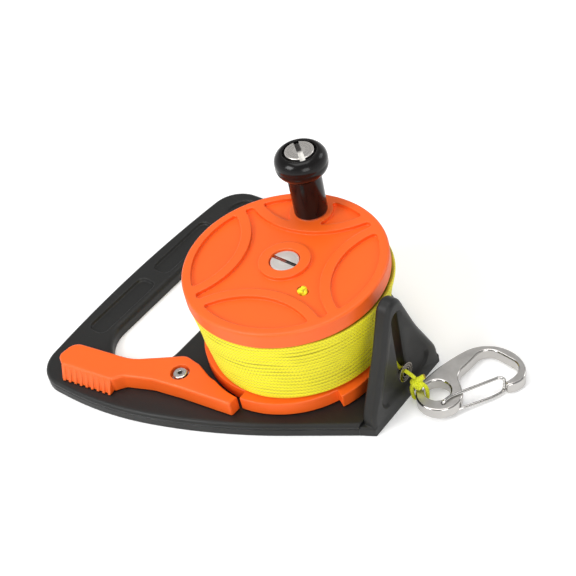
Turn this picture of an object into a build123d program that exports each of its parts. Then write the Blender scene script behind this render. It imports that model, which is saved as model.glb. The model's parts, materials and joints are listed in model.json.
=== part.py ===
from build123d import *
import os
from math import atan2, cos, degrees, floor, hypot, pi, radians, sin, sqrt, tan

os.makedirs("parts", exist_ok=True)

# Driving dimensions of the reel, in millimetres. The spool axis is Z and the ground is at zero.
flange_radius = 52.0
flange_thickness = 9.2
pack_height = 41.8
ratchet_thickness = 8.0
plate_height = 7.4
frame_half_width = 86.8
bar_reach = 124.0
guide_clearance = 5.5
end_thickness = 7.5
guide_top = 66.5
line_diameter = 1.9
hook_length = 46.0
hook_thickness = 6.5

# Fits and running gaps.
overrun = 1.0
face_gap = 0.1
radial_fit = 0.05
loose_gap = 0.3
press_gap = 0.02

# Where the line guide stands: clear of the top flange.
guide_back = flange_radius + guide_clearance
guide_reach = guide_back + end_thickness

# Heights of the main levels.
thrust_thickness = 0.6
ratchet_bottom = plate_height + thrust_thickness + face_gap
ratchet_top = ratchet_bottom + ratchet_thickness
flange_bottom = ratchet_top + pack_height
flange_top = flange_bottom + flange_thickness

full_turn = 360
half_turn = 180


def polar(radius, angle):
    """A flat point at a radius and an angle in degrees from the spool axis."""
    return (radius * cos(radians(angle)), radius * sin(radians(angle)))


def tube_section(path, radius):
    """A round section square to the start of a path."""
    with BuildSketch(Plane(origin=path @ 0, z_dir=path % 0)) as section:
        Circle(radius)
    return section.sketch


# Spindle: a slotted bolt clamps a sleeve, on which the spool turns, to the frame.
shank_radius = 3.9
sleeve_radius = 5.0
bolt_head_radius = 7.5
bolt_head_height = 3.2
bolt_head_sink = 0.8
bolt_head_round = 0.5
bolt_slot_width = 2.0
bolt_slot_depth = 1.5
bolt_slot_turn = -1.5
head_washer_thickness = 1.0
nut_height = 4.0
nut_across = 13.0
nut_sink = 0.5
nut_chamfer = 0.6
thrust_radius = 14.0
bush_wall = 1.55
bush_length = 10.0
bush_chamfer = 0.3

bolt_top = flange_top - bolt_head_sink
sleeve_top = bolt_top - bolt_head_height - head_washer_thickness
bush_top = sleeve_top - face_gap
bush_bore = sleeve_radius + radial_fit
bush_radius = bush_bore + bush_wall
head_well_radius = bolt_head_radius + loose_gap + face_gap


def ring(outer, inner, bottom, height):
    """A plain ring on the spool axis."""
    with BuildPart(Plane.XY.offset(bottom)) as made:
        Cylinder(outer, height, align=(Align.CENTER, Align.CENTER, Align.MIN))
        Cylinder(inner, height, align=(Align.CENTER, Align.CENTER, Align.MIN), mode=Mode.SUBTRACT)
    return made


with BuildPart() as spindle_bolt:
    with BuildSketch(Plane.XY.offset(nut_sink)):
        Circle(shank_radius)
    extrude(amount=bolt_top - nut_sink - bolt_slot_depth)
    with BuildSketch(Plane.XY.offset(bolt_top - bolt_head_height)):
        Circle(bolt_head_radius)
    extrude(amount=bolt_head_height)
    fillet(spindle_bolt.edges().group_by(Axis.Z)[-1], bolt_head_round)
    with BuildSketch(Plane.XY.offset(bolt_top)):
        Rectangle(3 * bolt_head_radius, bolt_slot_width, rotation=bolt_slot_turn)
    extrude(amount=-bolt_slot_depth, mode=Mode.SUBTRACT)
    chamfer(spindle_bolt.edges().group_by(Axis.Z)[0], nut_chamfer)
spindle_bolt.part.label = "spindle_bolt"
export_step(spindle_bolt.part, "parts/spindle_bolt.step")

spindle_sleeve = ring(sleeve_radius, shank_radius + radial_fit, plate_height, sleeve_top - plate_height)
spindle_sleeve.part.label = "spindle_sleeve"
export_step(spindle_sleeve.part, "parts/spindle_sleeve.step")

head_washer = ring(bolt_head_radius, shank_radius + radial_fit, sleeve_top, head_washer_thickness)
head_washer.part.label = "head_washer"
export_step(head_washer.part, "parts/head_washer.step")

thrust_washer = ring(thrust_radius, sleeve_radius + radial_fit, plate_height, thrust_thickness)
thrust_washer.part.label = "thrust_washer"
export_step(thrust_washer.part, "parts/thrust_washer.step")


def hex_nut(centre, across, height, bore, bottom):
    """A hexagon nut with its upper and lower corners eased."""
    with BuildPart() as nut:
        with BuildSketch(Plane(origin=(centre[0], centre[1], bottom))):
            RegularPolygon(across / 2, 6, major_radius=False)
            Circle(bore, mode=Mode.SUBTRACT)
        extrude(amount=height)
        chamfer(nut.edges().filter_by(GeomType.CIRCLE), height * nut_ease_share)
    return nut


nut_ease_share = 0.12

spindle_nut = hex_nut((0, 0), nut_across, nut_height, shank_radius + radial_fit, nut_sink)
spindle_nut.part.label = "spindle_nut"
export_step(spindle_nut.part, "parts/spindle_nut.step")


def bush(bottom):
    """A bearing bush of the spool, eased at both ends of its bore."""
    made = ring(bush_radius, bush_bore, bottom, bush_length)
    with made:
        chamfer(made.edges().filter_by(GeomType.CIRCLE), bush_chamfer)
    return made


upper_bush = bush(bush_top - bush_length)
upper_bush.part.label = "upper_bush"
export_step(upper_bush.part, "parts/upper_bush.step")

lower_bush = bush(ratchet_bottom)
lower_bush.part.label = "lower_bush"
export_step(lower_bush.part, "parts/lower_bush.step")

# Spool drum: the barrel that the line is wound on, with three screws that hold both flanges.
drum_radius = 20.0
drum_relief = 1.2
drum_screw_centre_radius = 12.6
drum_screw_count = 3
drum_screw_radius = 1.5
drum_screw_head = 2.9
drum_screw_head_height = 1.7
drum_screw_grip = 5.0
drum_screw_socket = 1.2
drum_screw_taper = 40

bush_seat = bush_radius + press_gap
screw_places = [
    polar(drum_screw_centre_radius, full_turn * index / drum_screw_count) for index in range(drum_screw_count)
]

with BuildPart() as spool_drum:
    with BuildSketch(Plane.XY.offset(ratchet_top)):
        Circle(drum_radius)
        Circle(bush_seat, mode=Mode.SUBTRACT)
        with Locations(*screw_places):
            Circle(drum_screw_radius + radial_fit, mode=Mode.SUBTRACT)
    extrude(amount=pack_height)
    with BuildSketch(Plane.XY.offset(ratchet_bottom + bush_length)):
        Circle(bush_seat + drum_relief)
    extrude(amount=bush_top - bush_length - ratchet_bottom - bush_length, mode=Mode.SUBTRACT)
spool_drum.part.label = "spool_drum"
export_step(spool_drum.part, "parts/spool_drum.step")

with BuildPart() as spool_screws:
    for place in screw_places:
        with BuildSketch(Plane(origin=(place[0], place[1], ratchet_bottom))):
            Circle(drum_screw_head)
        extrude(amount=drum_screw_head_height, taper=drum_screw_taper)
        with BuildSketch(Plane(origin=(place[0], place[1], ratchet_bottom))):
            Circle(drum_screw_radius)
        extrude(amount=flange_bottom + drum_screw_grip - ratchet_bottom)
        with BuildSketch(Plane(origin=(place[0], place[1], ratchet_bottom))):
            RegularPolygon(drum_screw_socket, 6)
        extrude(amount=drum_screw_head_height / 2, mode=Mode.SUBTRACT)
spool_screws.part.label = "spool_screws"
export_step(spool_screws.part, "parts/spool_screws.step")

# Ratchet flange: six saw teeth, whose steep faces meet the lever's tip.
tooth_count = 6
tooth_depth = 5.1
tooth_start = -90.3
tooth_round = 0.6
ratchet_edge = 0.5

peak_radius = flange_radius - face_gap
root_radius = peak_radius - tooth_depth
tooth_pitch = full_turn / tooth_count

with BuildPart() as spool_ratchet:
    with BuildSketch(Plane.XY.offset(ratchet_bottom)) as teeth:
        with BuildLine():
            for tooth in range(tooth_count):
                peak_angle = tooth_start + tooth * tooth_pitch
                ramp = ThreePointArc(
                    polar(peak_radius, peak_angle),
                    polar((peak_radius + root_radius) / 2, peak_angle + tooth_pitch / 2),
                    polar(root_radius, peak_angle + tooth_pitch),
                )
                Line(ramp @ 1, polar(peak_radius, peak_angle + tooth_pitch))
        make_face()
        fillet(teeth.vertices(), tooth_round)
        Circle(bush_seat, mode=Mode.SUBTRACT)
        with Locations(*screw_places):
            Circle(drum_screw_radius + radial_fit, mode=Mode.SUBTRACT)
    extrude(amount=ratchet_thickness)
    fillet(spool_ratchet.faces().sort_by(Axis.Z)[-1].outer_wire().edges(), ratchet_edge)
    fillet(spool_ratchet.faces().sort_by(Axis.Z)[0].outer_wire().edges(), ratchet_edge)
    with BuildSketch(Plane.XY.offset(ratchet_bottom)):
        with Locations(*screw_places):
            Circle(drum_screw_head + radial_fit)
    extrude(amount=drum_screw_head_height, taper=drum_screw_taper, mode=Mode.SUBTRACT)
spool_ratchet.part.label = "spool_ratchet"
export_step(spool_ratchet.part, "parts/spool_ratchet.step")

# Winding knob: its bolt clamps a sleeve to the top flange, and the grip turns on the sleeve.
knob_inset = 14.2
knob_angle = 105.7
knob_radius = 8.7
knob_flare_height = 23.6
knob_flare_length = 2.6
knob_flare_radius = 11.4
knob_cap_radius = 13.4
knob_cap_rise = 5.4
knob_height = 38.2
knob_crown_radius = 9.9
knob_well_radius = 8.8
knob_well_depth = 2.8
knob_washer_thickness = 0.8
knob_sleeve_radius = 4.6
knob_shank_radius = 3.4
knob_head_radius = 7.4
knob_head_height = 3.2
knob_slot_width = 2.7
knob_slot_depth = 1.4
knob_slot_turn = -40.0
knob_nut_across = 11.0
knob_nut_height = 3.8
knob_collar_radius = 11.2

knob_x, knob_y = polar(flange_radius - knob_inset, knob_angle)
knob_foot = flange_top + knob_washer_thickness + face_gap
knob_top = flange_top + knob_height
knob_seat = knob_top - knob_well_depth
knob_sleeve_top = knob_seat + face_gap
knob_nut_bottom = flange_bottom + nut_sink

# Top flange: a rim, four lens pockets, a four-armed star recess and a raised hub.
rim_width = 4.8
lens_radius = 39.0
lens_centre_radius = 66.0
lens_rib = 5.3
lens_angle = 15.7
lens_count = 4
lens_depth = 2.0
lens_round = 1.4
star_round = 1.9
hub_radius = 13.2
flange_edge = 1.5
flange_under_edge = 0.8
line_hole_centre_radius = 23.7
line_hole_angle = -31.2
line_hole_length = 7.2
line_hole_width = 5.0

rim_radius = flange_radius - rim_width
lens_angles = [lens_angle + full_turn * index / lens_count for index in range(lens_count)]
line_hole_place = polar(line_hole_centre_radius, line_hole_angle)

with BuildPart() as spool_flange:
    with BuildSketch(Plane.XY.offset(flange_bottom)):
        Circle(flange_radius)
        Circle(bush_seat, mode=Mode.SUBTRACT)
        with Locations(line_hole_place):
            SlotOverall(line_hole_length, line_hole_width, rotation=line_hole_angle, mode=Mode.SUBTRACT)
        with Locations((knob_x, knob_y)):
            Circle(knob_shank_radius + radial_fit, mode=Mode.SUBTRACT)
    extrude(amount=flange_thickness)
    fillet(spool_flange.edges().group_by(Axis.Z)[-1].sort_by(SortBy.LENGTH)[-1], flange_edge)
    fillet(spool_flange.edges().group_by(Axis.Z)[0].sort_by(SortBy.LENGTH)[-1], flange_under_edge)
    with BuildSketch(Plane.XY.offset(flange_top)) as lenses:
        Circle(rim_radius)
        with Locations(*[polar(lens_centre_radius, angle) for angle in lens_angles]):
            Circle(lens_radius, mode=Mode.INTERSECT)
        with Locations((knob_x, knob_y)):
            Circle(knob_collar_radius, mode=Mode.SUBTRACT)
        fillet(lenses.vertices(), lens_round)
    extrude(amount=-lens_depth, mode=Mode.SUBTRACT)
    with BuildSketch(Plane.XY.offset(flange_top)) as star:
        Circle(rim_radius)
        with Locations(*[polar(lens_centre_radius, angle) for angle in lens_angles]):
            Circle(lens_radius + lens_rib, mode=Mode.SUBTRACT)
        fillet(star.vertices(), star_round)
        Circle(hub_radius, mode=Mode.SUBTRACT)
    extrude(amount=-lens_depth, mode=Mode.SUBTRACT)
    with BuildSketch(Plane.XY.offset(bush_top)):
        Circle(head_well_radius)
    extrude(amount=flange_top - bush_top, mode=Mode.SUBTRACT)
    with BuildSketch(Plane.XY.offset(flange_bottom)):
        with Locations((knob_x, knob_y)):
            RegularPolygon(knob_nut_across / 2 + face_gap, 6, major_radius=False)
    extrude(amount=nut_sink + knob_nut_height, mode=Mode.SUBTRACT)
    with BuildSketch(Plane.XY.offset(flange_bottom)):
        with Locations(*screw_places):
            Circle(drum_screw_radius + radial_fit)
    extrude(amount=drum_screw_grip + face_gap, mode=Mode.SUBTRACT)
spool_flange.part.label = "spool_flange"
export_step(spool_flange.part, "parts/spool_flange.step")

knob_plane = Plane(origin=(knob_x, knob_y, 0), x_dir=(1, 0, 0), z_dir=(0, -1, 0))
knob_axis = Axis((knob_x, knob_y, 0), (0, 0, 1))

with BuildPart() as knob_grip:
    with BuildSketch(knob_plane):
        with BuildLine():
            foot = Line((knob_sleeve_radius + radial_fit, knob_foot), (knob_radius, knob_foot))
            flare_start = flange_top + knob_flare_height
            stem = Line(foot @ 1, (knob_radius, flare_start))
            flare = Line(stem @ 1, (knob_flare_radius, flare_start + knob_flare_length))
            cap_middle = flare_start + knob_flare_length + knob_cap_rise
            under = RadiusArc(flare @ 1, (knob_cap_radius, cap_middle), -knob_cap_rise)
            crown = ThreePointArc(
                under @ 1,
                (
                    knob_crown_radius + (knob_cap_radius - knob_crown_radius) * sqrt(1 / 2),
                    cap_middle + (knob_top - cap_middle) * sqrt(1 / 2),
                ),
                (knob_crown_radius, knob_top),
            )
            lip = Line(crown @ 1, (knob_well_radius, knob_top))
            well = Line(lip @ 1, (knob_well_radius, knob_seat))
            seat = Line(well @ 1, (knob_sleeve_radius + radial_fit, knob_seat))
            Line(seat @ 1, foot @ 0)
        make_face()
    revolve(axis=knob_axis)
knob_grip.part.label = "knob_grip"
export_step(knob_grip.part, "parts/knob_grip.step")


def knob_ring(outer, inner, bottom, top):
    """A plain ring on the knob's axis."""
    with BuildPart() as made:
        with BuildSketch(Plane(origin=(knob_x, knob_y, bottom))):
            Circle(outer)
            Circle(inner, mode=Mode.SUBTRACT)
        extrude(amount=top - bottom)
    return made


knob_sleeve = knob_ring(knob_sleeve_radius, knob_shank_radius + radial_fit, flange_top, knob_sleeve_top)
knob_sleeve.part.label = "knob_sleeve"
export_step(knob_sleeve.part, "parts/knob_sleeve.step")

knob_washer = knob_ring(
    knob_radius - loose_gap, knob_sleeve_radius + radial_fit, flange_top, flange_top + knob_washer_thickness
)
knob_washer.part.label = "knob_washer"
export_step(knob_washer.part, "parts/knob_washer.step")

knob_nut = hex_nut(
    (knob_x, knob_y), knob_nut_across, knob_nut_height, knob_shank_radius + radial_fit, knob_nut_bottom
)
knob_nut.part.label = "knob_nut"
export_step(knob_nut.part, "parts/knob_nut.step")

with BuildPart() as knob_bolt:
    with BuildSketch(Plane(origin=(knob_x, knob_y, knob_nut_bottom))):
        Circle(knob_shank_radius)
    extrude(amount=knob_sleeve_top - knob_nut_bottom)
    with BuildSketch(Plane(origin=(knob_x, knob_y, knob_sleeve_top))):
        Circle(knob_head_radius)
    extrude(amount=knob_head_height)
    fillet(knob_bolt.edges().group_by(Axis.Z)[-1], bolt_head_round)
    with BuildSketch(Plane(origin=(knob_x, knob_y, knob_sleeve_top + knob_head_height))):
        Rectangle(3 * knob_head_radius, knob_slot_width, rotation=knob_slot_turn)
    extrude(amount=-knob_slot_depth, mode=Mode.SUBTRACT)
knob_bolt.part.label = "knob_bolt"
export_step(knob_bolt.part, "parts/knob_bolt.step")

# Frame: a flat plate under the spool and a hand bar behind it, moulded in one.
plate_end_half = 32.2
bend_x = 26.0
bend_y = 50.0
hip_x = -42.0
hip_inset = 7.8
bar_corner = 118.6
corner_radius = 18.0
hole_inner_x = -58.4
hole_outer_x = -99.5
hole_inset = 29.8
hang_hole_x = -97.0
hang_hole_inset = 16.8
hang_hole_radius = 11.0
side_groove_height = 4.1
side_groove_width = 0.9
side_groove_depth = 0.6
outer_round = 2.2
hole_round = 3.0
hang_round = 1.5
under_round = 0.8
bar_pocket_depth = 1.5
bar_pocket_outer = 116.5
bar_pocket_width = 12.5
bar_pocket_round = 4.5
bar_pocket_taper = 30
near_pocket_start = -47.5
near_pocket_end = -1.5
far_pocket_start = 6.5
far_pocket_end = 53.0
web_inner = 18.0
web_outer = 46.0
web_depth = 3.2
web_rib = 4.0
web_rib_count = 3
web_round = 2.0

# Line guide: an upright plate with a slot, held from below by a tongue and two screws.
guide_end_half = 28.5
guide_shoulder = 11.0
guide_shoulder_round = 20.0
guide_waist_half = 14.7
guide_waist = 39.0
guide_waist_round = 120.0
guide_apex = 78.4
foot_height = 5.4
foot_round = 1.2
guide_face_round = 2.4
guide_back_round = 1.6
guide_slot_width = 6.0
guide_slot_bottom = 15.0
guide_slot_top = 58.5
back_ease = 0.5
guide_slot_flare = 45
dish_inset = 4.4
dish_depth = 1.2
dish_foot = 8.6
dish_corner_round = 6.0
dish_taper = 60
tongue_length = 14.0
tongue_half = 20.0
tongue_height = 3.4
tongue_gap = 0.2
guide_screw_spread = 13.0
guide_screw_radius = 1.5
guide_screw_head = 2.9
guide_screw_head_height = 1.7
guide_screw_grip = 3.0

# Thumb lever: it turns on a sleeve that its screw clamps to the plate.
pivot_x = -38.3
pivot_inset = 33.2
lever_rest_turn = -2.2
lever_lift = 0.6
lever_height = 9.0
lever_sleeve_radius = 3.4
lever_screw_radius = 2.0
lever_head_radius = 3.75
lever_head_height = 2.2
lever_socket = 1.45
lever_well_radius = 5.15
lever_well_depth = 3.2
lever_washer_thickness = 0.6
lever_washer_radius = 4.7
lever_nut_across = 7.0
lever_nut_height = 3.2

pivot_y = pivot_inset - frame_half_width
lever_bottom = plate_height + lever_lift
lever_top = lever_bottom + lever_height
lever_sleeve_top = lever_top - lever_well_depth + face_gap
spring_radius = 5.6
spring_wire = 0.7
spring_leg = 2.4
spring_spacer_width = 1.2

hip_y = frame_half_width - hip_inset
hole_half_length = frame_half_width - hole_inset
hang_hole_y = frame_half_width - hang_hole_inset

with BuildSketch() as frame_outline:
    with BuildLine():
        for side in (-1, 1):
            foot = Line((guide_back, 0), (guide_back, side * plate_end_half))
            shoulder = Line(foot @ 1, (bend_x, side * bend_y))
            flank = TangentArc(shoulder @ 1, (hip_x, side * hip_y), tangent=shoulder % 1)
            hip_turn = atan2(abs((flank % 1).Y), abs((flank % 1).X))
            heel_x = hip_x - (frame_half_width - hip_y) / tan(hip_turn / 2)
            heel = TangentArc(flank @ 1, (heel_x, side * frame_half_width), tangent=flank % 1)
            Line(heel @ 1, (-bar_corner, side * frame_half_width))
        ThreePointArc((-bar_corner, -frame_half_width), (-bar_reach, 0), (-bar_corner, frame_half_width))
    make_face()
    fillet(frame_outline.vertices().group_by(Axis.X)[0], corner_radius)

hole_middle = (hole_inner_x + hole_outer_x) / 2
bar_pocket_x = -bar_pocket_outer + bar_pocket_width / 2

with BuildPart() as frame:
    with BuildSketch():
        add(frame_outline.sketch)
        with Locations((hole_middle, 0)):
            SlotOverall(2 * hole_half_length, hole_inner_x - hole_outer_x, rotation=90, mode=Mode.SUBTRACT)
        with Locations((hang_hole_x, hang_hole_y)):
            Circle(hang_hole_radius, mode=Mode.SUBTRACT)
    extrude(amount=plate_height)
    top_face = frame.faces().sort_by(Axis.Z)[-1]
    rim_edges = top_face.outer_wire().edges()
    outer_edges = rim_edges.filter_by(lambda edge: edge.center().X < guide_back - overrun)
    holes = sorted(top_face.inner_wires(), key=lambda wire: wire.length)
    fillet(outer_edges, outer_round)
    fillet(holes[0].edges(), hang_round)
    fillet(holes[1].edges(), hole_round)
    under_face = frame.faces().sort_by(Axis.Z)[0]
    under_holes = sorted(under_face.inner_wires(), key=lambda wire: wire.length)
    fillet(under_holes[1].edges(), under_round)
    with BuildSketch(Plane.XY.offset(side_groove_height)):
        add(frame_outline.sketch)
        offset(frame_outline.sketch, amount=-side_groove_depth, mode=Mode.SUBTRACT)
    extrude(amount=side_groove_width, mode=Mode.SUBTRACT)
    for pocket in ((near_pocket_start, near_pocket_end), (far_pocket_start, far_pocket_end)):
        with BuildSketch(Plane.XY.offset(plate_height)):
            with Locations((bar_pocket_x, sum(pocket) / 2)):
                RectangleRounded(bar_pocket_width, pocket[1] - pocket[0], bar_pocket_round)
        extrude(amount=-bar_pocket_depth, taper=bar_pocket_taper, mode=Mode.SUBTRACT)
    with BuildSketch() as webs:
        Circle(web_outer)
        Circle(web_inner, mode=Mode.SUBTRACT)
        for rib in range(web_rib_count):
            Rectangle(3 * web_outer, web_rib, rotation=half_turn * rib / web_rib_count, mode=Mode.SUBTRACT)
        fillet(webs.vertices(), web_round)
    extrude(amount=web_depth, mode=Mode.SUBTRACT)
    with BuildSketch():
        Circle(shank_radius + radial_fit)
        with Locations((pivot_x, pivot_y)):
            Circle(lever_screw_radius + radial_fit)
    extrude(amount=plate_height, mode=Mode.SUBTRACT)
    with BuildSketch():
        RegularPolygon(nut_across / 2 + face_gap, 6, major_radius=False)
    extrude(amount=nut_sink + nut_height, mode=Mode.SUBTRACT)
    with BuildSketch():
        with Locations((pivot_x, pivot_y)):
            RegularPolygon(lever_nut_across / 2 + face_gap, 6, major_radius=False)
    extrude(amount=nut_sink + lever_nut_height, mode=Mode.SUBTRACT)
    with BuildSketch():
        with Locations((guide_back - tongue_length / 2, 0)):
            Rectangle(tongue_length + 2 * tongue_gap, 2 * (tongue_half + tongue_gap))
    extrude(amount=tongue_height, mode=Mode.SUBTRACT)
    with BuildSketch(Plane.XY.offset(tongue_height)):
        with Locations((guide_back - tongue_length / 2, 0)):
            with GridLocations(0, 2 * guide_screw_spread, 1, 2):
                Circle(guide_screw_radius + radial_fit)
    extrude(amount=guide_screw_grip, mode=Mode.SUBTRACT)
    with BuildSketch(Plane.XY.offset(plate_height)):
        with Locations((pivot_x + spring_radius, pivot_y)):
            Circle(spring_wire / 2 + radial_fit)
    extrude(amount=-spring_leg, mode=Mode.SUBTRACT)
frame.part.label = "frame"
export_step(frame.part, "parts/frame.step")

guide_plane = Plane(origin=(guide_back, 0, 0), x_dir=(0, 1, 0), z_dir=(1, 0, 0))
guide_apex_half = atan2(guide_waist_half, guide_apex - guide_waist)
guide_tip_round = (guide_apex - guide_top) / (1 / sin(guide_apex_half) - 1)
dish_waist_half = guide_waist_half - dish_inset / cos(guide_apex_half)
slot_place = (0, (guide_slot_bottom + guide_slot_top) / 2)
slot_length = guide_slot_top - guide_slot_bottom
front_ease = dish_depth + back_ease


with BuildPart() as guide_plate:
    with BuildSketch(guide_plane):
        with BuildLine():
            FilletPolyline(
                (-guide_end_half, 0),
                (-guide_end_half, guide_shoulder),
                (-guide_waist_half, guide_waist),
                (0, guide_apex),
                (guide_waist_half, guide_waist),
                (guide_end_half, guide_shoulder),
                (guide_end_half, 0),
                radius=(
                    0,
                    guide_shoulder_round,
                    guide_waist_round,
                    guide_tip_round,
                    guide_waist_round,
                    guide_shoulder_round,
                    0,
                ),
                close=True,
            )
        make_face()
    extrude(amount=end_thickness)
    front_edges = guide_plate.faces().sort_by(Axis.X)[-1].outer_wire().edges()
    fillet(front_edges.filter_by(lambda edge: edge.center().Z > overrun), guide_face_round)
    back_edges = guide_plate.faces().sort_by(Axis.X)[0].outer_wire().edges()
    fillet(back_edges.filter_by(lambda edge: edge.center().Z > overrun), guide_back_round)
    with BuildSketch(guide_plane.offset(end_thickness)):
        with BuildLine():
            FilletPolyline(
                (-guide_end_half + dish_inset, dish_foot),
                (-dish_waist_half, guide_waist),
                (0, guide_apex - dish_inset / sin(guide_apex_half)),
                (dish_waist_half, guide_waist),
                (guide_end_half - dish_inset, dish_foot),
                radius=(
                    dish_corner_round,
                    guide_waist_round,
                    guide_tip_round / 2,
                    guide_waist_round,
                    dish_corner_round,
                ),
                close=True,
            )
        make_face()
    extrude(amount=-dish_depth, taper=dish_taper, mode=Mode.SUBTRACT)
    with BuildSketch(guide_plane):
        with Locations(slot_place):
            SlotOverall(slot_length, guide_slot_width, rotation=90)
    extrude(amount=end_thickness, mode=Mode.SUBTRACT)
    with BuildSketch(guide_plane):
        with Locations(slot_place):
            SlotOverall(slot_length + 2 * back_ease, guide_slot_width + 2 * back_ease, rotation=90)
    extrude(amount=back_ease, taper=guide_slot_flare, mode=Mode.SUBTRACT)
    with BuildSketch(guide_plane.offset(end_thickness)):
        with Locations(slot_place):
            SlotOverall(slot_length + 2 * front_ease, guide_slot_width + 2 * front_ease, rotation=90)
    extrude(amount=-front_ease, taper=guide_slot_flare, mode=Mode.SUBTRACT)

with BuildPart() as line_guide:
    with BuildSketch():
        with BuildLine():
            Polyline(
                (guide_back, -plate_end_half),
                (guide_reach, -guide_end_half),
                (guide_reach, guide_end_half),
                (guide_back, plate_end_half),
                close=True,
            )
        make_face()
    extrude(amount=foot_height)
    top_edges = line_guide.edges().group_by(Axis.Z)[-1]
    fillet(top_edges.filter_by(lambda edge: guide_back + overrun < edge.center().X), foot_round)
    add(guide_plate.part)
    with BuildSketch():
        with Locations((guide_back - tongue_length / 2, 0)):
            Rectangle(tongue_length, 2 * tongue_half)
    extrude(amount=tongue_height)
    with BuildSketch():
        with Locations((guide_back - tongue_length / 2, 0)):
            with GridLocations(0, 2 * guide_screw_spread, 1, 2):
                Circle(guide_screw_radius + radial_fit)
    extrude(amount=tongue_height, mode=Mode.SUBTRACT)
    with BuildSketch():
        with Locations((guide_back - tongue_length / 2, 0)):
            with GridLocations(0, 2 * guide_screw_spread, 1, 2):
                Circle(guide_screw_head + radial_fit)
    extrude(amount=guide_screw_head_height, taper=drum_screw_taper, mode=Mode.SUBTRACT)
line_guide.part.label = "line_guide"
export_step(line_guide.part, "parts/line_guide.step")

with BuildPart() as guide_screws:
    with BuildSketch():
        with Locations((guide_back - tongue_length / 2, 0)):
            with GridLocations(0, 2 * guide_screw_spread, 1, 2):
                Circle(guide_screw_head)
    extrude(amount=guide_screw_head_height, taper=drum_screw_taper)
    with BuildSketch():
        with Locations((guide_back - tongue_length / 2, 0)):
            with GridLocations(0, 2 * guide_screw_spread, 1, 2):
                Circle(guide_screw_radius)
    extrude(amount=tongue_height + guide_screw_grip - face_gap)
    with BuildSketch():
        with Locations((guide_back - tongue_length / 2, 0)):
            with GridLocations(0, 2 * guide_screw_spread, 1, 2):
                RegularPolygon(drum_screw_socket, 6)
    extrude(amount=guide_screw_head_height / 2, mode=Mode.SUBTRACT)
guide_screws.part.label = "guide_screws"
export_step(guide_screws.part, "parts/guide_screws.step")


def lever_plane(height):
    """A plane on the lever's pivot, with x along the lever at rest."""
    turn = radians(lever_rest_turn)
    return Plane(origin=(pivot_x, pivot_y, height), x_dir=(cos(turn), sin(turn), 0), z_dir=(0, 0, 1))


# The outline runs from the tip round the outer side, the thumb pad and the hump to the tip again.
lever_length = 67.0
lever_outline_shares = (
    (0.549, -0.045),
    (0.082, -0.121),
    (-0.155, -0.172),
    (-0.375, -0.262),
    (-0.424, -0.336),
    (-0.915, -0.427),
    (-1.005, -0.375),
    (-0.993, -0.203),
    (-0.440, -0.092),
    (-0.080, 0.160),
    (0.075, 0.145),
    (0.250, 0.082),
    (0.549, 0.088),
)
lever_round_shares = (0.02, 0.45, 0.25, 0.1, 0.03, 0.04, 0.06, 0.1, 0.4, 0.1, 0.12, 0.3, 0.015)
lever_top_round = 1.2
pad_toe = 3.0
pad_toe_height_share = 0.92
pad_rib_depth = 0.9
pad_rib_width = 1.5
pad_rib_count = 9
spring_well = 3.3
spring_well_radius = 7.0

pad_start_share = lever_outline_shares[4]
pad_end_share = lever_outline_shares[5]
pad_edge_x = (pad_end_share[0] - pad_start_share[0]) * lever_length
pad_edge_y = (pad_end_share[1] - pad_start_share[1]) * lever_length
pad_edge_length = hypot(pad_edge_x, pad_edge_y)
pad_turn = atan2(pad_edge_y, pad_edge_x) + radians(lever_rest_turn)
pad_rib_pitch = pad_edge_length / pad_rib_count


def pad_plane(along):
    """An upright plane square to the pad's outer edge, with x outwards from the pad."""
    share = along / pad_edge_length
    start = (
        (pad_start_share[0]) * lever_length + pad_edge_x * share,
        (pad_start_share[1]) * lever_length + pad_edge_y * share,
        0,
    )
    return Plane(
        origin=lever_plane(lever_bottom).from_local_coords(start),
        x_dir=(-sin(pad_turn), cos(pad_turn), 0),
        z_dir=(cos(pad_turn), sin(pad_turn), 0),
    )


def pad_wedge(reach):
    """The sloping section of the pad's outer side, as far out at its foot as the reach."""
    wedge_top = lever_height * pad_toe_height_share
    with BuildLine() as wedge:
        Polyline((-pad_toe, 0), (reach, 0), (0, wedge_top), (-pad_toe, wedge_top), close=True)
    return wedge.line


with BuildPart() as thumb_lever:
    with BuildSketch(lever_plane(lever_bottom)):
        with BuildLine():
            FilletPolyline(
                *[(x * lever_length, y * lever_length) for x, y in lever_outline_shares],
                radius=[share * lever_length for share in lever_round_shares],
                close=True,
            )
        make_face()
    extrude(amount=lever_height)
    with BuildSketch(Plane.XY.offset(lever_bottom)):
        Circle(peak_radius + loose_gap)
    extrude(amount=lever_height, mode=Mode.SUBTRACT)
    fillet(thumb_lever.faces().sort_by(Axis.Z)[-1].outer_wire().edges(), lever_top_round)
    with BuildSketch(pad_plane(pad_rib_pitch / 3)):
        add(make_face(pad_wedge(pad_toe)))
    extrude(amount=pad_edge_length - pad_rib_pitch / 3)
    for rib in range(pad_rib_count):
        with BuildSketch(pad_plane(pad_rib_pitch * (rib + 1 / 2) - pad_rib_width / 2)):
            add(make_face(pad_wedge(pad_toe + pad_rib_depth)))
        extrude(amount=pad_rib_width)
    with BuildSketch(lever_plane(lever_top)):
        Circle(lever_well_radius)
    extrude(amount=-lever_well_depth, mode=Mode.SUBTRACT)
    with BuildSketch(lever_plane(lever_bottom)):
        Circle(lever_sleeve_radius + radial_fit)
    extrude(amount=lever_height, mode=Mode.SUBTRACT)
    with BuildSketch(lever_plane(lever_bottom)):
        Circle(spring_well_radius)
    extrude(amount=spring_well, mode=Mode.SUBTRACT)
thumb_lever.part.label = "thumb_lever"
export_step(thumb_lever.part, "parts/thumb_lever.step")


def lever_ring(outer, inner, bottom, top):
    """A plain ring on the lever's pivot."""
    with BuildPart() as made:
        with BuildSketch(lever_plane(bottom)):
            Circle(outer)
            Circle(inner, mode=Mode.SUBTRACT)
        extrude(amount=top - bottom)
    return made


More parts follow.
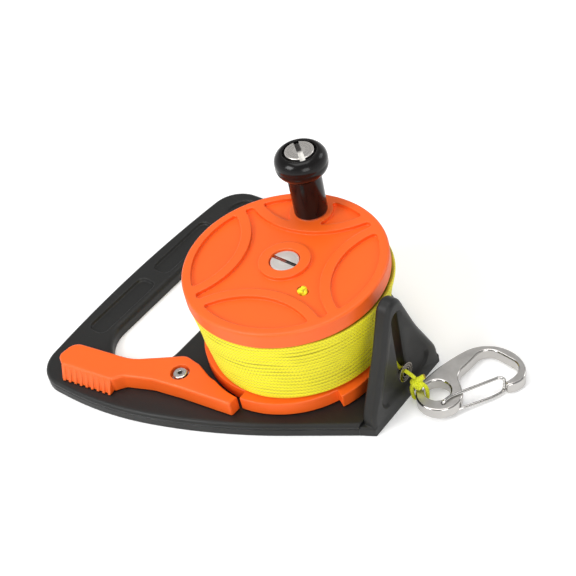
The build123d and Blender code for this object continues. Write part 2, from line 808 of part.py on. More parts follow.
lever_sleeve = lever_ring(
    lever_sleeve_radius, lever_screw_radius + radial_fit, plate_height, lever_sleeve_top
)
lever_sleeve.part.label = "lever_sleeve"
export_step(lever_sleeve.part, "parts/lever_sleeve.step")

lever_spacer = lever_ring(
    lever_sleeve_radius + radial_fit + spring_spacer_width,
    lever_sleeve_radius + radial_fit,
    plate_height,
    lever_bottom - face_gap,
)
lever_spacer.part.label = "lever_spacer"
export_step(lever_spacer.part, "parts/lever_spacer.step")

lever_washer = lever_ring(
    lever_washer_radius,
    lever_screw_radius + radial_fit,
    lever_sleeve_top,
    lever_sleeve_top + lever_washer_thickness,
)
lever_washer.part.label = "lever_washer"
export_step(lever_washer.part, "parts/lever_washer.step")

lever_nut = hex_nut(
    (pivot_x, pivot_y), lever_nut_across, lever_nut_height, lever_screw_radius + radial_fit, nut_sink
)
lever_nut.part.label = "lever_nut"
export_step(lever_nut.part, "parts/lever_nut.step")

lever_head_bottom = lever_sleeve_top + lever_washer_thickness
with BuildPart() as lever_screw:
    with BuildSketch(lever_plane(nut_sink)):
        Circle(lever_screw_radius)
    extrude(amount=lever_head_bottom - nut_sink)
    with BuildSketch(lever_plane(lever_head_bottom)):
        Circle(lever_head_radius)
    extrude(amount=lever_head_height)
    fillet(lever_screw.edges().group_by(Axis.Z)[-1], lever_head_height / 3)
    with BuildSketch(lever_plane(lever_head_bottom + lever_head_height)):
        RegularPolygon(lever_socket, 6)
    extrude(amount=-lever_head_height / 2, mode=Mode.SUBTRACT)
lever_screw.part.label = "lever_screw"
export_step(lever_screw.part, "parts/lever_screw.step")


def lay_biarcs(place, stops):
    """Two arcs for each stretch between stops, tangent to each other and to the curve at the stops."""
    for start, stop in zip(stops, stops[1:]):
        first, last = Vector(*place(start)), Vector(*place(stop))
        step = (stop - start) / half_turn
        first_way = (Vector(*place(start + step)) - Vector(*place(start - step))).normalized()
        last_way = (Vector(*place(stop + step)) - Vector(*place(stop - step))).normalized()
        chord = last - first
        along = chord.dot(first_way + last_way)
        spread = 2 * (1 - first_way.dot(last_way))
        reach = (sqrt(along**2 + spread * chord.dot(chord)) - along) / spread
        middle = (first + last + (first_way - last_way) * reach) / 2
        entry = TangentArc(first, middle, tangent=first_way)
        TangentArc(middle, last, tangent=entry % 1)


# Return spring: a torsion spring round the sleeve, between a hole in the plate and the lever.
spring_turns = 2
spring_pitch = 0.95


def spring_place(turn):
    """A point on the spring's coil after a number of turns."""
    angle = full_turn * turn
    return (
        pivot_x + spring_radius * cos(radians(angle)),
        pivot_y + spring_radius * sin(radians(angle)),
        lever_bottom + spring_wire / 2 + face_gap / 2 + spring_pitch * turn,
    )


with BuildPart() as lever_spring:
    with BuildLine() as spring_path:
        lay_biarcs(spring_place, [turn / 2 for turn in range(2 * spring_turns + 1)])
    sweep(sections=tube_section(spring_path.wire(), spring_wire / 2), path=spring_path.wire())
    with BuildSketch(Plane(origin=(pivot_x + spring_radius, pivot_y, plate_height - spring_leg + face_gap))):
        Circle(spring_wire / 2)
    extrude(amount=spring_place(0)[2] - plate_height + spring_leg - face_gap)
lever_spring.part.label = "lever_spring"
export_step(lever_spring.part, "parts/lever_spring.step")

# Line on the spool: a plain core under one outer layer, which is a single unbroken tube.
pack_foot_inset = 5.0
pack_top_inset = 1.0
layer_slack = 0.12
lay_pitch = 2.45
lay_waver = 0.05
lay_waver_rate = 1.37
lay_end_gap = 0.2
gap_samples = 24

pack_foot_radius = flange_radius - pack_foot_inset
pack_top_radius = flange_radius - pack_top_inset
lay_span = pack_height - line_diameter - 2 * lay_end_gap - 2 * lay_waver
lay_half_turns = floor(2 * lay_span / lay_pitch)
lay_step = 2 * lay_span / lay_half_turns


def pack_radius(height):
    """The outer radius of the line on the spool, which is wider at the top than at the foot."""
    share = (height - ratchet_top) / pack_height
    return pack_foot_radius + (pack_top_radius - pack_foot_radius) * share


def lay_place(turn):
    """A point on the outer layer of line after a number of turns."""
    waver = lay_waver * sin(2 * pi * lay_waver_rate * turn)
    height = ratchet_top + lay_end_gap + line_diameter / 2 + lay_waver + lay_step * turn + waver
    lay_radius = pack_radius(height) - line_diameter / 2 - abs(waver)
    return (*polar(lay_radius, full_turn * turn), height)


with BuildPart() as line_winding:
    with BuildLine() as lay_path:
        lay_biarcs(lay_place, [turn / 2 for turn in range(lay_half_turns + 1)])
        coil = lay_path.wire()
        Line(coil @ 0 - (coil % 0) * line_diameter, coil @ 0)
        Line(coil @ 1, coil @ 1 + (coil % 1) * line_diameter)
    sweep(sections=tube_section(lay_path.wire(), line_diameter / 2), path=lay_path.wire())
line_winding.part.label = "line_winding"
export_step(line_winding.part, "parts/line_winding.step")

lay_wire = lay_path.wire()
lay_count = floor(lay_half_turns / 2 * gap_samples)
lay_points = [lay_wire @ (index / lay_count) for index in range(lay_count + 1)]
lay_gap = min(
    (lay_points[index] - lay_points[index + ahead]).length - line_diameter
    for index in range(lay_count - gap_samples - 2)
    for ahead in range(gap_samples - 2, gap_samples + 3)
)
print("least gap between turns of the line", round(lay_gap, 2), "mm over", lay_half_turns / 2, "turns")

core_inset = line_diameter + layer_slack
core_bore = drum_radius + radial_fit

with BuildPart() as line_core:
    with BuildSketch(Plane.XZ):
        with BuildLine():
            Polyline(
                (core_bore, ratchet_top),
                (pack_foot_radius - core_inset, ratchet_top),
                (pack_top_radius - core_inset, flange_bottom),
                (core_bore, flange_bottom),
                close=True,
            )
        make_face()
    revolve(axis=Axis.Z)
line_core.part.label = "line_core"
export_step(line_core.part, "parts/line_core.step")

# The line's inner end comes up through the flange and is stopped by a knot.
end_knot_radius = 2.3
end_knot_sink = 0.5

with BuildPart() as line_end_knot:
    with BuildSketch(Plane(origin=(*line_hole_place, flange_bottom))):
        Circle(line_diameter / 2)
    extrude(amount=flange_thickness - lens_depth - end_knot_sink)
    with Locations((*line_hole_place, flange_top - lens_depth - end_knot_sink)):
        Sphere(end_knot_radius)
line_end_knot.part.label = "line_end_knot"
export_step(line_end_knot.part, "parts/line_end_knot.step")

# Stop washer: it bears on the guide's dished face and stops the line's end.
washer_y = 1.2
washer_z = 17.6
washer_radius = 5.3
washer_bore = 2.3
washer_thickness = 1.0

guide_face = guide_reach - dish_depth

with BuildPart() as stop_washer:
    with BuildSketch(Plane(origin=(guide_face, washer_y, washer_z), x_dir=(0, 1, 0), z_dir=(1, 0, 0))):
        Circle(washer_radius)
        Circle(washer_bore, mode=Mode.SUBTRACT)
    extrude(amount=washer_thickness)
stop_washer.part.label = "stop_washer"
export_step(stop_washer.part, "parts/stop_washer.step")

# Snap hook: it lies on the ground, with its eye raised by the line that passes under it.
hook_clearance = 14.1
hook_y = 5.0
hook_turn = 61.6
eye_radius = 6.6
eye_outer_radius = 11.7
eye_offset = 2.1
eye_ring_start = 114.8
eye_ring_turn = 213.2
eye_setback = 4.0
hook_round = 1.0
nose_round = 1.3
eye_throat_round = 3.0
hook_back_shares = (
    (0.543, 0.359),
    (0.846, 0.263),
    (1.0, -0.043),
    (0.924, -0.283),
    (0.804, -0.346),
    (0.667, -0.325),
)
hook_inner_shares = (
    (0.843, -0.222),
    (0.913, -0.043),
    (0.837, 0.150),
    (0.611, 0.233),
    (0.4, 0.143),
    (0.267, -0.011),
)
nose_inner_share = (0.672, -0.265)
gate_wire = 0.85
gate_pin_share = (-0.041, -0.202)
gate_upper_shares = ((0.065, -0.170), (0.643, -0.202), (0.678, -0.247))
gate_lower_shares = ((0.678, -0.247), (0.620, -0.290), (0.5, -0.300), (0.111, -0.263))
gate_pin_depth = 2.6
gate_gap = 0.15
gate_swing = 20.0

hook_lift = line_diameter + gate_gap
hook_tilt = atan2(hook_lift, hook_length + eye_setback)
hook_way = radians(hook_turn)
hook_normal = (cos(hook_way) * sin(hook_tilt), sin(hook_way) * sin(hook_tilt), cos(hook_tilt))
hook_plane = Plane(
    origin=(guide_reach + hook_clearance, hook_y, hook_length * sin(hook_tilt)),
    x_dir=(cos(hook_way) * cos(hook_tilt), sin(hook_way) * cos(hook_tilt), -sin(hook_tilt)),
    z_dir=hook_normal,
)


def on_hook(share, height=0):
    """A point on the hook, from shares of its length along and across it."""
    return (share[0] * hook_length, share[1] * hook_length, height)


gate_pin = on_hook(gate_pin_share)[:2]
gate_top = hook_thickness + gate_wire + gate_gap
gate_bottom = gate_wire + gate_gap
gate_lower_turn = atan2(
    gate_lower_shares[-1][1] - gate_pin_share[1], gate_lower_shares[-1][0] - gate_pin_share[0]
)

with BuildPart() as hook_body:
    with BuildSketch(hook_plane) as hook_outline:
        with BuildLine():
            eye_ring = CenterArc((0, -eye_offset), eye_outer_radius, eye_ring_start, eye_ring_turn)
            back_end, back_way = eye_ring @ 0, (eye_ring % 0) * -1
            for share in hook_back_shares:
                bow = TangentArc(back_end, on_hook(share), tangent=back_way)
                back_end, back_way = bow @ 1, bow % 1
            nose = Line(back_end, on_hook(nose_inner_share))
            inner_end, inner_way = nose @ 1, Vector(1, 0, 0)
            for share in hook_inner_shares:
                bow = TangentArc(inner_end, on_hook(share), tangent=inner_way)
                inner_end, inner_way = bow @ 1, bow % 1
            TangentArc(inner_end, eye_ring @ 1, tangent=inner_way)
        make_face()
        fillet(hook_outline.vertices().sort_by_distance(nose @ (1 / 2))[:2], nose_round)
        fillet(hook_outline.vertices().sort_by_distance(eye_ring @ 1)[0], eye_throat_round)
        Circle(eye_radius, mode=Mode.SUBTRACT)
    extrude(amount=hook_thickness)
    hook_edges = hook_body.edges()
    fillet(hook_edges.filter_by(lambda edge: abs((edge % 0).dot(Vector(*hook_normal))) < 1 / 2), hook_round)
    with BuildSketch(hook_plane):
        with Locations(gate_pin):
            Circle(gate_wire + radial_fit)
    extrude(amount=hook_thickness, mode=Mode.SUBTRACT)
    with BuildSketch(hook_plane):
        with BuildLine():
            groove_start = degrees(gate_lower_turn) - gate_swing / 4
            groove_arc = CenterArc(gate_pin, 2 * eye_outer_radius, groove_start, 3 / 2 * gate_swing)
            Line(gate_pin, groove_arc @ 0)
            Line(gate_pin, groove_arc @ 1)
        make_face()
        offset(amount=gate_wire + gate_gap, mode=Mode.REPLACE)
    extrude(amount=2 * gate_bottom, mode=Mode.SUBTRACT)
    with BuildSketch(hook_plane.offset(hook_thickness)):
        with Locations(gate_pin):
            Circle(gate_wire + 3 * gate_gap)
    extrude(amount=-gate_wire, mode=Mode.SUBTRACT)
hook_body.part.label = "hook_body"
export_step(hook_body.part, "parts/hook_body.step")


def run_radii(points, share):
    """The radius of each corner's arc, a share of what the shorter of its two runs allows."""
    radii = []
    for before, corner, after in zip(points, points[1:], points[2:]):
        arriving = Vector(*corner) - Vector(*before)
        leaving = Vector(*after) - Vector(*corner)
        turn = radians(arriving.get_angle(leaving))
        radii.append(share * min(arriving.length, leaving.length) / tan(turn / 2))
    return radii


corner_share = 0.45
gate_points = [
    (*gate_pin, gate_top - gate_wire - gate_gap - gate_pin_depth),
    (*gate_pin, gate_top),
    *[on_hook(share, gate_top) for share in gate_upper_shares],
    *[on_hook(share, gate_bottom) for share in gate_lower_shares],
    (*gate_pin, gate_bottom),
    (*gate_pin, gate_bottom + gate_pin_depth - gate_wire),
]
gate_route = [hook_plane.from_local_coords(point) for point in gate_points]

with BuildPart() as hook_gate:
    with BuildLine() as gate_path:
        FilletPolyline(*gate_route, radius=run_radii(gate_route, corner_share))
    sweep(sections=tube_section(gate_path.wire(), gate_wire), path=gate_path.wire())
hook_gate.part.label = "hook_gate"
export_step(hook_gate.part, "parts/hook_gate.step")

# Free end of the line: from the pack through the guide and the washer to a knot and the hook's eye.
lead_leave = 31.6
lead_height = 27.0
lead_turn_gap = 2.9
lead_turn_y = 1.3
lead_turn_z = 20.6
lead_exit = 2.9
knot_gap = 6.0
knot_y = 1.8
knot_z = 13.0
knot_radius = 3.0
loop_turn = 21.5
loop_reach = 3.8
loop_shoulder = 7.6

knot_x = guide_reach + knot_gap
knot = Vector(knot_x, knot_y, knot_z)
lead_stop = Vector(guide_reach + lead_exit, washer_y, washer_z)
knot_seat = knot_radius + face_gap
knot_edge = (lead_stop - knot).normalized() * knot_seat
lead_radius = pack_radius(lead_height) + loose_gap + line_diameter / 2
lead_route = [
    Vector(*polar(lead_radius, lead_leave), lead_height),
    Vector(guide_back - lead_turn_gap, lead_turn_y, lead_turn_z),
    lead_stop,
    knot + knot_edge,
]

with BuildPart() as line_lead:
    with BuildLine() as lead_path:
        lead_radii = run_radii(lead_route, corner_share)
        FilletPolyline(*lead_route, radius=lead_radii)
    sweep(sections=tube_section(lead_path.wire(), line_diameter / 2), path=lead_path.wire())
line_lead.part.label = "line_lead"
export_step(line_lead.part, "parts/line_lead.step")
print("line lead", round(lead_path.wire().length, 1), "mm, radii", [round(bend, 1) for bend in lead_radii])

# The knot with its short tail, and the loop round the wall of the hook's eye.
tail_rise = 4.5
tail_drift = 3.2

with BuildPart() as line_knot:
    with Locations(knot):
        Sphere(knot_radius)
    tail = Vector(0, tail_drift, tail_rise)
    with BuildSketch(Plane(origin=knot, z_dir=tail)):
        Circle(line_diameter / 2)
    extrude(amount=tail.length)
line_knot.part.label = "line_knot"
export_step(line_knot.part, "parts/line_knot.step")

loop_bottom = line_diameter / 2
loop_fall = hypot(loop_reach, knot_z - loop_shoulder)
loop_side = [
    (loop_reach * knot_seat / loop_fall, knot_z - (knot_z - loop_shoulder) * knot_seat / loop_fall),
    (loop_reach, loop_shoulder),
    (loop_reach, loop_bottom + loop_reach / 2),
    (loop_reach / 2, loop_bottom),
]
loop_way = (cos(radians(loop_turn)), sin(radians(loop_turn)))
loop_flat = loop_side + [(-along, height) for along, height in reversed(loop_side)]
loop_route = [
    Vector(knot_x + loop_way[0] * along, knot_y + loop_way[1] * along, height) for along, height in loop_flat
]

with BuildPart() as line_loop:
    with BuildLine() as loop_path:
        loop_radii = run_radii(loop_route, corner_share)
        FilletPolyline(*loop_route, radius=loop_radii)
    sweep(sections=tube_section(loop_path.wire(), line_diameter / 2), path=loop_path.wire())
line_loop.part.label = "line_loop"
export_step(line_loop.part, "parts/line_loop.step")
print("line loop", round(loop_path.wire().length, 1), "mm, radii", [round(bend, 1) for bend in loop_radii])
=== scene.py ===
import bmesh
import bpy
import json
from math import atan2, cos, floor, pi, radians, sin
from mathutils import Matrix, Quaternion, Vector


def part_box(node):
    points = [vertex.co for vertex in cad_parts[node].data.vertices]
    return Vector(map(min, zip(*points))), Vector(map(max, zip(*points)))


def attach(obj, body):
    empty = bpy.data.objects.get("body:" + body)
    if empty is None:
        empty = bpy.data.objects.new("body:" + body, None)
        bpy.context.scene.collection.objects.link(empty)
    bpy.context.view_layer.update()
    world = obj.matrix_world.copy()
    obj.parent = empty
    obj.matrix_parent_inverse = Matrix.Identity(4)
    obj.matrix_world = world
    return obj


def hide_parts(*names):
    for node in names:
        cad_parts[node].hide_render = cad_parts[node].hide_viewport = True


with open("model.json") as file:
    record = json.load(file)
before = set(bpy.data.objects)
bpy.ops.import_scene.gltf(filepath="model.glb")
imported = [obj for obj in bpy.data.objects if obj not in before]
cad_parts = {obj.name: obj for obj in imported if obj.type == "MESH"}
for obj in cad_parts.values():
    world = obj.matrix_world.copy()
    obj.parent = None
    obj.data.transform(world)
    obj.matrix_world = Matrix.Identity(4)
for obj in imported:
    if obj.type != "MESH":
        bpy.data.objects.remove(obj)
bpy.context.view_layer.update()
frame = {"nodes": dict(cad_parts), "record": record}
scene = bpy.context.scene
scene.view_settings.view_transform = "Standard"
mm = 0.001
bodyOf = {name: body for body, names in frame["record"]["behaviour"]["bodies"].items() for name in names}
print("frame loaded:", len(frame["nodes"]), "nodes")

# the camera stands where the photograph was taken from
cameraSetup = {
    "place": (0.3355, -0.3227, 0.4698),
    "target": (0.01413, -0.01545, 0.0670),
    "roll": -13.2,
    "lens": 78.26,
    "sensor": 36.0,
    "farClip": 10.0,
}


def addCamera(setup):
    data = bpy.data.cameras.new("camera")
    data.lens = setup["lens"]
    data.sensor_width = setup["sensor"]
    data.clip_end = setup["farClip"]
    camera = bpy.data.objects.new("camera", data)
    scene.collection.objects.link(camera)
    place, target = Vector(setup["place"]), Vector(setup["target"])
    aim = (target - place).to_track_quat("-Z", "Y").to_matrix()
    turn = aim @ Matrix.Rotation(radians(setup["roll"]), 3, "Z")
    camera.matrix_world = Matrix.Translation(place) @ turn.to_4x4()
    scene.camera = camera


addCamera(cameraSetup)


# helpers for node trees
def setInput(tree, made, name, value):
    socket = made.inputs[name]
    if isinstance(value, bpy.types.NodeSocket):
        tree.links.new(value, socket)
    elif isinstance(value, tuple) and len(value) == 3 and socket.type == "RGBA":
        socket.default_value = (*value, 1.0)
    else:
        socket.default_value = value


def setInputs(tree, made, values):
    for name, value in values.items():
        setInput(tree, made, name, value)


# makes a node with its settings and inputs, and hands back its outputs
def addNode(tree, kind, inputs=None, **settings):
    made = tree.nodes.new(kind)
    for name, value in settings.items():
        setattr(made, name, value)
    setInputs(tree, made, inputs or {})
    return made.outputs


def calc(tree, operation, first, second=None, clamp=False):
    inputs = {0: first} if second is None else {0: first, 1: second}
    return addNode(tree, "ShaderNodeMath", inputs, operation=operation, use_clamp=clamp)[0]


def plus(tree, total, *others):
    for other in others:
        total = calc(tree, "ADD", total, other)
    return total


def minus(tree, first, second):
    return calc(tree, "SUBTRACT", first, second)


def times(tree, total, *others):
    for other in others:
        total = calc(tree, "MULTIPLY", total, other)
    return total


# stretches a value's run from 0 to 1 into one from -1 to 1
def centred(tree, value):
    return times(tree, minus(tree, value, 0.5), 2.0)


def vectorCalc(tree, operation, first, second=None):
    inputs = {0: first} if second is None else {0: first, 1: second}
    made = addNode(tree, "ShaderNodeVectorMath", inputs, operation=operation)
    return made["Value" if operation in ("DOT_PRODUCT", "LENGTH") else "Vector"]


def coordinates(tree, label="Object"):
    return addNode(tree, "ShaderNodeTexCoord")[label]


def split(tree, value):
    return addNode(tree, "ShaderNodeSeparateXYZ", {0: value})


def combine(tree, x=0.0, y=0.0, z=0.0):
    return addNode(tree, "ShaderNodeCombineXYZ", {0: x, 1: y, 2: z})[0]


def mapRange(tree, value, low, high, toLow=0.0, toHigh=1.0):
    inputs = {"Value": value, "From Min": low, "From Max": high, "To Min": toLow, "To Max": toHigh}
    return addNode(tree, "ShaderNodeMapRange", inputs)["Result"]


def mixColour(tree, factor, first, second):
    return addNode(tree, "ShaderNodeMix", {0: factor, 6: first, 7: second}, data_type="RGBA")[2]


def mixNumber(tree, factor, first, second):
    return addNode(tree, "ShaderNodeMix", {0: factor, 2: first, 3: second}, data_type="FLOAT")[0]


def noise(tree, place, scale, detail=2.0, roughness=0.5, distortion=0.0):
    inputs = {
        "Vector": place, "Scale": scale, "Detail": detail, "Roughness": roughness, "Distortion": distortion,
    }
    return addNode(tree, "ShaderNodeTexNoise", inputs)[0]


def noiseAlong(tree, reach, scale, detail=2.0):
    inputs = {"W": reach, "Scale": scale, "Detail": detail}
    return addNode(tree, "ShaderNodeTexNoise", inputs, noise_dimensions="1D")[0]


number, vector = "NodeSocketFloat", "NodeSocketVector"
socketKinds = {
    float: number,
    int: "NodeSocketInt",
    tuple: vector,
    bpy.types.Material: "NodeSocketMaterial",
}


# a node group whose inputs take their kinds and first values from a dictionary
def newGroup(name, kind, inputs, outputs):
    group = bpy.data.node_groups.new(name, kind)
    for label, value in inputs.items():
        socket = group.interface.new_socket(label, in_out="INPUT", socket_type=socketKinds[type(value)])
        socket.default_value = value
    for label, socketKind in outputs.items():
        group.interface.new_socket(label, in_out="OUTPUT", socket_type=socketKind)
    return group, group.nodes.new("NodeGroupInput").outputs, group.nodes.new("NodeGroupOutput").inputs


def setOutputs(group, out, **results):
    for label, value in results.items():
        group.links.new(value, out[label])
    return group


def placeGroup(tree, group, **inputs):
    return addNode(tree, "ShaderNodeGroup", inputs, node_tree=group)


# rounds corners in the shading, and masks where the surface turns
def makeSoftEdges():
    group, given, out = newGroup(
        "softEdges", "ShaderNodeTree", {"Radius": 0.0006, "Gain": 4.0}, {"Normal": vector, "Edge": number}
    )
    rounded = addNode(group, "ShaderNodeBevel", {"Radius": given["Radius"]}, samples=6)[0]
    straight = addNode(group, "ShaderNodeNewGeometry")["Normal"]
    bend = minus(group, 1.0, vectorCalc(group, "DOT_PRODUCT", rounded, straight))
    edge = calc(group, "MULTIPLY", bend, given["Gain"], clamp=True)
    return setOutputs(group, out, Normal=rounded, Edge=edge)


# fine skin of a spark-eroded mould, and broad patches of more and less gloss
def makeMouldGrain():
    group, given, out = newGroup(
        "mouldGrain", "ShaderNodeTree", {"Fine": 1600.0, "Broad": 45.0}, {"Height": number, "Patch": number}
    )
    place = coordinates(group)
    height = noise(group, place, given["Fine"], detail=3.0, roughness=0.6)
    patch = noise(group, place, given["Broad"], detail=4.0, roughness=0.55)
    return setOutputs(group, out, Height=height, Patch=patch)


# sparse thin scratches that cross each other
scuffSetup = {
    "turns": ((0.35, 0.20, 0.5), (1.47, 0.84, 2.1)),
    "stretch": (1.0, 9.0, 9.0),
    "distortion": 0.4,
    "lineHalf": 0.012,
    "patchScale": 38.0,
    "patchSpan": (0.5, 0.65),
}


def makeScuffs(setup):
    inputs = {"Scale": 60.0, "Amount": 0.5}
    group, given, out = newGroup("scuffs", "ShaderNodeTree", inputs, {"Mask": number})
    place = coordinates(group)
    masks = []
    for turn in setup["turns"]:
        turned = addNode(group, "ShaderNodeMapping", {
            "Vector": place,
            "Rotation": turn,
            "Scale": setup["stretch"],
        })[0]
        streak = noise(group, turned, given["Scale"], distortion=setup["distortion"])
        ridge = calc(group, "ABSOLUTE", minus(group, streak, 0.5))
        masks.append(mapRange(group, ridge, setup["lineHalf"], 0.0))
    where = mapRange(group, noise(group, place, setup["patchScale"]), *setup["patchSpan"])
    both = times(group, calc(group, "MAXIMUM", *masks), where)
    return setOutputs(group, out, Mask=calc(group, "MULTIPLY", both, given["Amount"], clamp=True))


# lathe marks round an upright axis through the centre
def makeTurnedRings():
    inputs = {"Centre": (0.0, 0.0, 0.0), "Fine": 2600.0, "Broad": 620.0}
    outputs = {"Height": number, "Streak": number}
    group, given, out = newGroup("turnedRings", "ShaderNodeTree", inputs, outputs)
    away = vectorCalc(group, "SUBTRACT", coordinates(group), given["Centre"])
    reach = vectorCalc(group, "LENGTH", vectorCalc(group, "MULTIPLY", away, (1.0, 1.0, 0.0)))
    height = noiseAlong(group, reach, given["Fine"], detail=3.0)
    streak = noiseAlong(group, reach, given["Broad"], detail=3.0)
    return setOutputs(group, out, Height=height, Streak=streak)


# plaits of a round braid; the map's x runs along the line in metres, and its y once round it
braidShading = {
    "fibres": 14.0,
    "plaitPower": 0.35,
    "plaitShare": 0.75,
    "crownShare": 0.25,
    "gapSpan": (0.45, 0.1),
}


def makeBraid(setup):
    inputs = {"Pitch": 0.0016, "Plaits": 4.0}
    outputs = {"Height": number, "Gap": number, "Fibre": number}
    group, given, out = newGroup("braid", "ShaderNodeTree", inputs, outputs)
    spot = split(group, coordinates(group, "UV"))
    along = calc(group, "DIVIDE", spot[0], given["Pitch"])
    around = times(group, spot[1], given["Plaits"])
    left, right = plus(group, along, around), minus(group, along, around)
    domes = [mapRange(group, calc(group, "PINGPONG", way, 0.5), 0.0, 0.5) for way in (left, right)]
    cells = plus(group, calc(group, "FLOOR", left), calc(group, "FLOOR", right))
    over = calc(group, "PINGPONG", cells, 1.0)
    plait = calc(group, "POWER", times(group, *domes), setup["plaitPower"])
    crown = mixNumber(group, over, *domes)
    height = plus(group, times(group, plait, setup["plaitShare"]), times(group, crown, setup["crownShare"]))
    thread = times(group, mixNumber(group, over, left, right), setup["fibres"])
    fibre = mapRange(group, calc(group, "SINE", thread), -1.0, 1.0)
    gap = mapRange(group, plait, *setup["gapSpan"])
    return setOutputs(group, out, Height=height, Gap=gap, Fibre=fibre)


softEdges, mouldGrain, scuffs = makeSoftEdges(), makeMouldGrain(), makeScuffs(scuffSetup)
turnedRings, braid = makeTurnedRings(), makeBraid(braidShading)


def newMaterial(name):
    material = bpy.data.materials.new(name)
    material.use_nodes = True
    tree = material.node_tree
    return material, tree, tree.nodes["Principled BSDF"]


def addBump(tree, shader, height, depth, normal=None):
    inputs = {"Distance": depth, "Height": height}
    if normal is not None:
        inputs["Normal"] = normal
    setInput(tree, shader, "Normal", addNode(tree, "ShaderNodeBump", inputs)[0])


def dimmed(colour, share):
    return tuple(value * share for value in colour)


# the stretch of a patch's noise over which a tint and a gloss change
tintSpan, glossSpan = (0.35, 0.65), (0.3, 0.7)


# a roughness that drifts with broad patches or rings
def patchyGloss(tree, patch, roughness, look):
    low, high = roughness - look["glossDrop"], roughness + look["glossRise"]
    return mapRange(tree, patch, *glossSpan, low, high)


# moulded plastic: paler on its edges, a painted highlight, and on its scratches, which is wear; with patches
# of gloss
plasticFinish = {"glossDrop": 0.04, "glossRise": 0.05, "edgePolish": 0.06}
plasticLooks = {
    "orangePlastic": {
        "colour": (0.99, 0.136, 0.009), "highlightAndWearColour": (1.0, 0.20, 0.035),
        "driftColour": (0.97, 0.122, 0.007), "drift": 0.5, "roughness": 0.42, "specular": 0.5,
        "edgeRadius": 0.9 * mm, "edgeGain": 4.0, "scuffs": 0.05, "grainDepth": 0.010 * mm,
    },
    "framePlastic": {
        "colour": (0.015, 0.015, 0.0145), "highlightAndWearColour": (0.070, 0.071, 0.070),
        "driftColour": (0.012, 0.012, 0.0115), "drift": 0.7, "roughness": 0.44, "specular": 0.33,
        "edgeRadius": 1.0 * mm, "edgeGain": 3.0, "scuffs": 0.30, "grainDepth": 0.025 * mm,
    },
    "drumPlastic": {
        "colour": (0.90, 0.120, 0.009), "highlightAndWearColour": (0.95, 0.17, 0.03),
        "driftColour": (0.86, 0.105, 0.007), "drift": 0.6, "roughness": 0.5, "specular": 0.4,
        "edgeRadius": 0.5 * mm, "edgeGain": 3.0, "scuffs": 0.1, "grainDepth": 0.020 * mm,
    },
    "knobPlastic": {
        "colour": (0.0055, 0.005, 0.0052), "highlightAndWearColour": (0.014, 0.012, 0.012),
        "driftColour": (0.009, 0.008, 0.008), "drift": 0.6, "roughness": 0.16, "specular": 0.25,
        "edgeRadius": 0.7 * mm, "edgeGain": 2.0, "scuffs": 0.2, "grainDepth": 0.003 * mm,
    },
    "bushPlastic": {
        "colour": (0.62, 0.60, 0.54), "highlightAndWearColour": (0.74, 0.72, 0.68),
        "driftColour": (0.56, 0.54, 0.48), "drift": 0.6, "roughness": 0.45, "specular": 0.5,
        "edgeRadius": 0.3 * mm, "edgeGain": 3.0, "scuffs": 0.0, "grainDepth": 0.010 * mm,
    },
}


def makePlastic(name, look):
    material, tree, shader = newMaterial(name)
    edges = placeGroup(tree, softEdges, Radius=look["edgeRadius"], Gain=look["edgeGain"])
    grain = placeGroup(tree, mouldGrain)
    marks = placeGroup(tree, scuffs, Amount=look["scuffs"])
    # the paler colour on edges is a painted highlight; on scratches it is wear
    pale = calc(tree, "MAXIMUM", edges["Edge"], marks["Mask"])
    shade = mixColour(tree, pale, look["colour"], look["highlightAndWearColour"])
    drift = mapRange(tree, grain["Patch"], *tintSpan, 0.0, look["drift"])
    gloss = patchyGloss(tree, grain["Patch"], look["roughness"], plasticFinish)
    setInputs(tree, shader, {
        "Base Color": mixColour(tree, drift, shade, look["driftColour"]),
        "Roughness": minus(tree, gloss, times(tree, edges["Edge"], plasticFinish["edgePolish"])),
        "Specular IOR Level": look["specular"],
    })
    addBump(tree, shader, grain["Height"], look["grainDepth"], edges["Normal"])
    return material


# stainless steel turned on a lathe, paler on its edges as a painted highlight; a slot's floor is painted,
# not metal, with the shade and reflected tones it would mirror, from one end to the other
# colours painted on slot floors: a shade, a reflection of the orange flange and a pale reflection
slotPaintedShade, slotPaintedOrangeReflection, slotPaintedPaleReflection = (0.035, 0.03, 0.028), (0.34, 0.07, 0.03), (0.86, 0.84, 0.80)
turnedFinish = {
    "dull": (0.72, 0.68, 0.64),
    "pale": (0.90, 0.87, 0.83),
    "highlightAndWearColour": (0.82, 0.81, 0.79),
    "edgeRadius": 0.25 * mm,
    "edgeGain": 4.0,
    "scuffScale": 130.0,
    "scuffs": 0.5,
    "scuffGloss": 0.2,
    "glossDrop": 0.05,
    "glossRise": 0.07,
    "ringDepth": 0.012 * mm,
    "slotDepths": (0.35 * mm, 0.15 * mm),
    "slotWalls": (0.05 * mm, 0.15 * mm),
    "toneShare": 0.6,
}
turnedLooks = {
    "spindleSteel": {
        # the spindle's steel is paler than the other turned steel, a painted reflection
        "node": "spindle_bolt", "bright": 1.08, "roughness": 0.45,
        "slotTurn": -1.5, "slotWidth": 2.0 * mm, "slotPaintedTones": (slotPaintedOrangeReflection, slotPaintedShade),
    },
    "knobSteel": {
        "node": "knob_bolt", "bright": 1.0, "roughness": 0.27,
        "slotTurn": -40.0, "slotWidth": 2.7 * mm, "slotPaintedTones": (slotPaintedShade, slotPaintedPaleReflection),
    },
    "leverSteel": {
        "node": "lever_screw", "bright": 1.0, "roughness": 0.22,
        "slotTurn": 0.0, "slotWidth": 3.6 * mm, "slotPaintedTones": (slotPaintedShade, slotPaintedShade),
    },
}


def middle(name):
    low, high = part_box(name)
    return tuple((low + high) / 2)


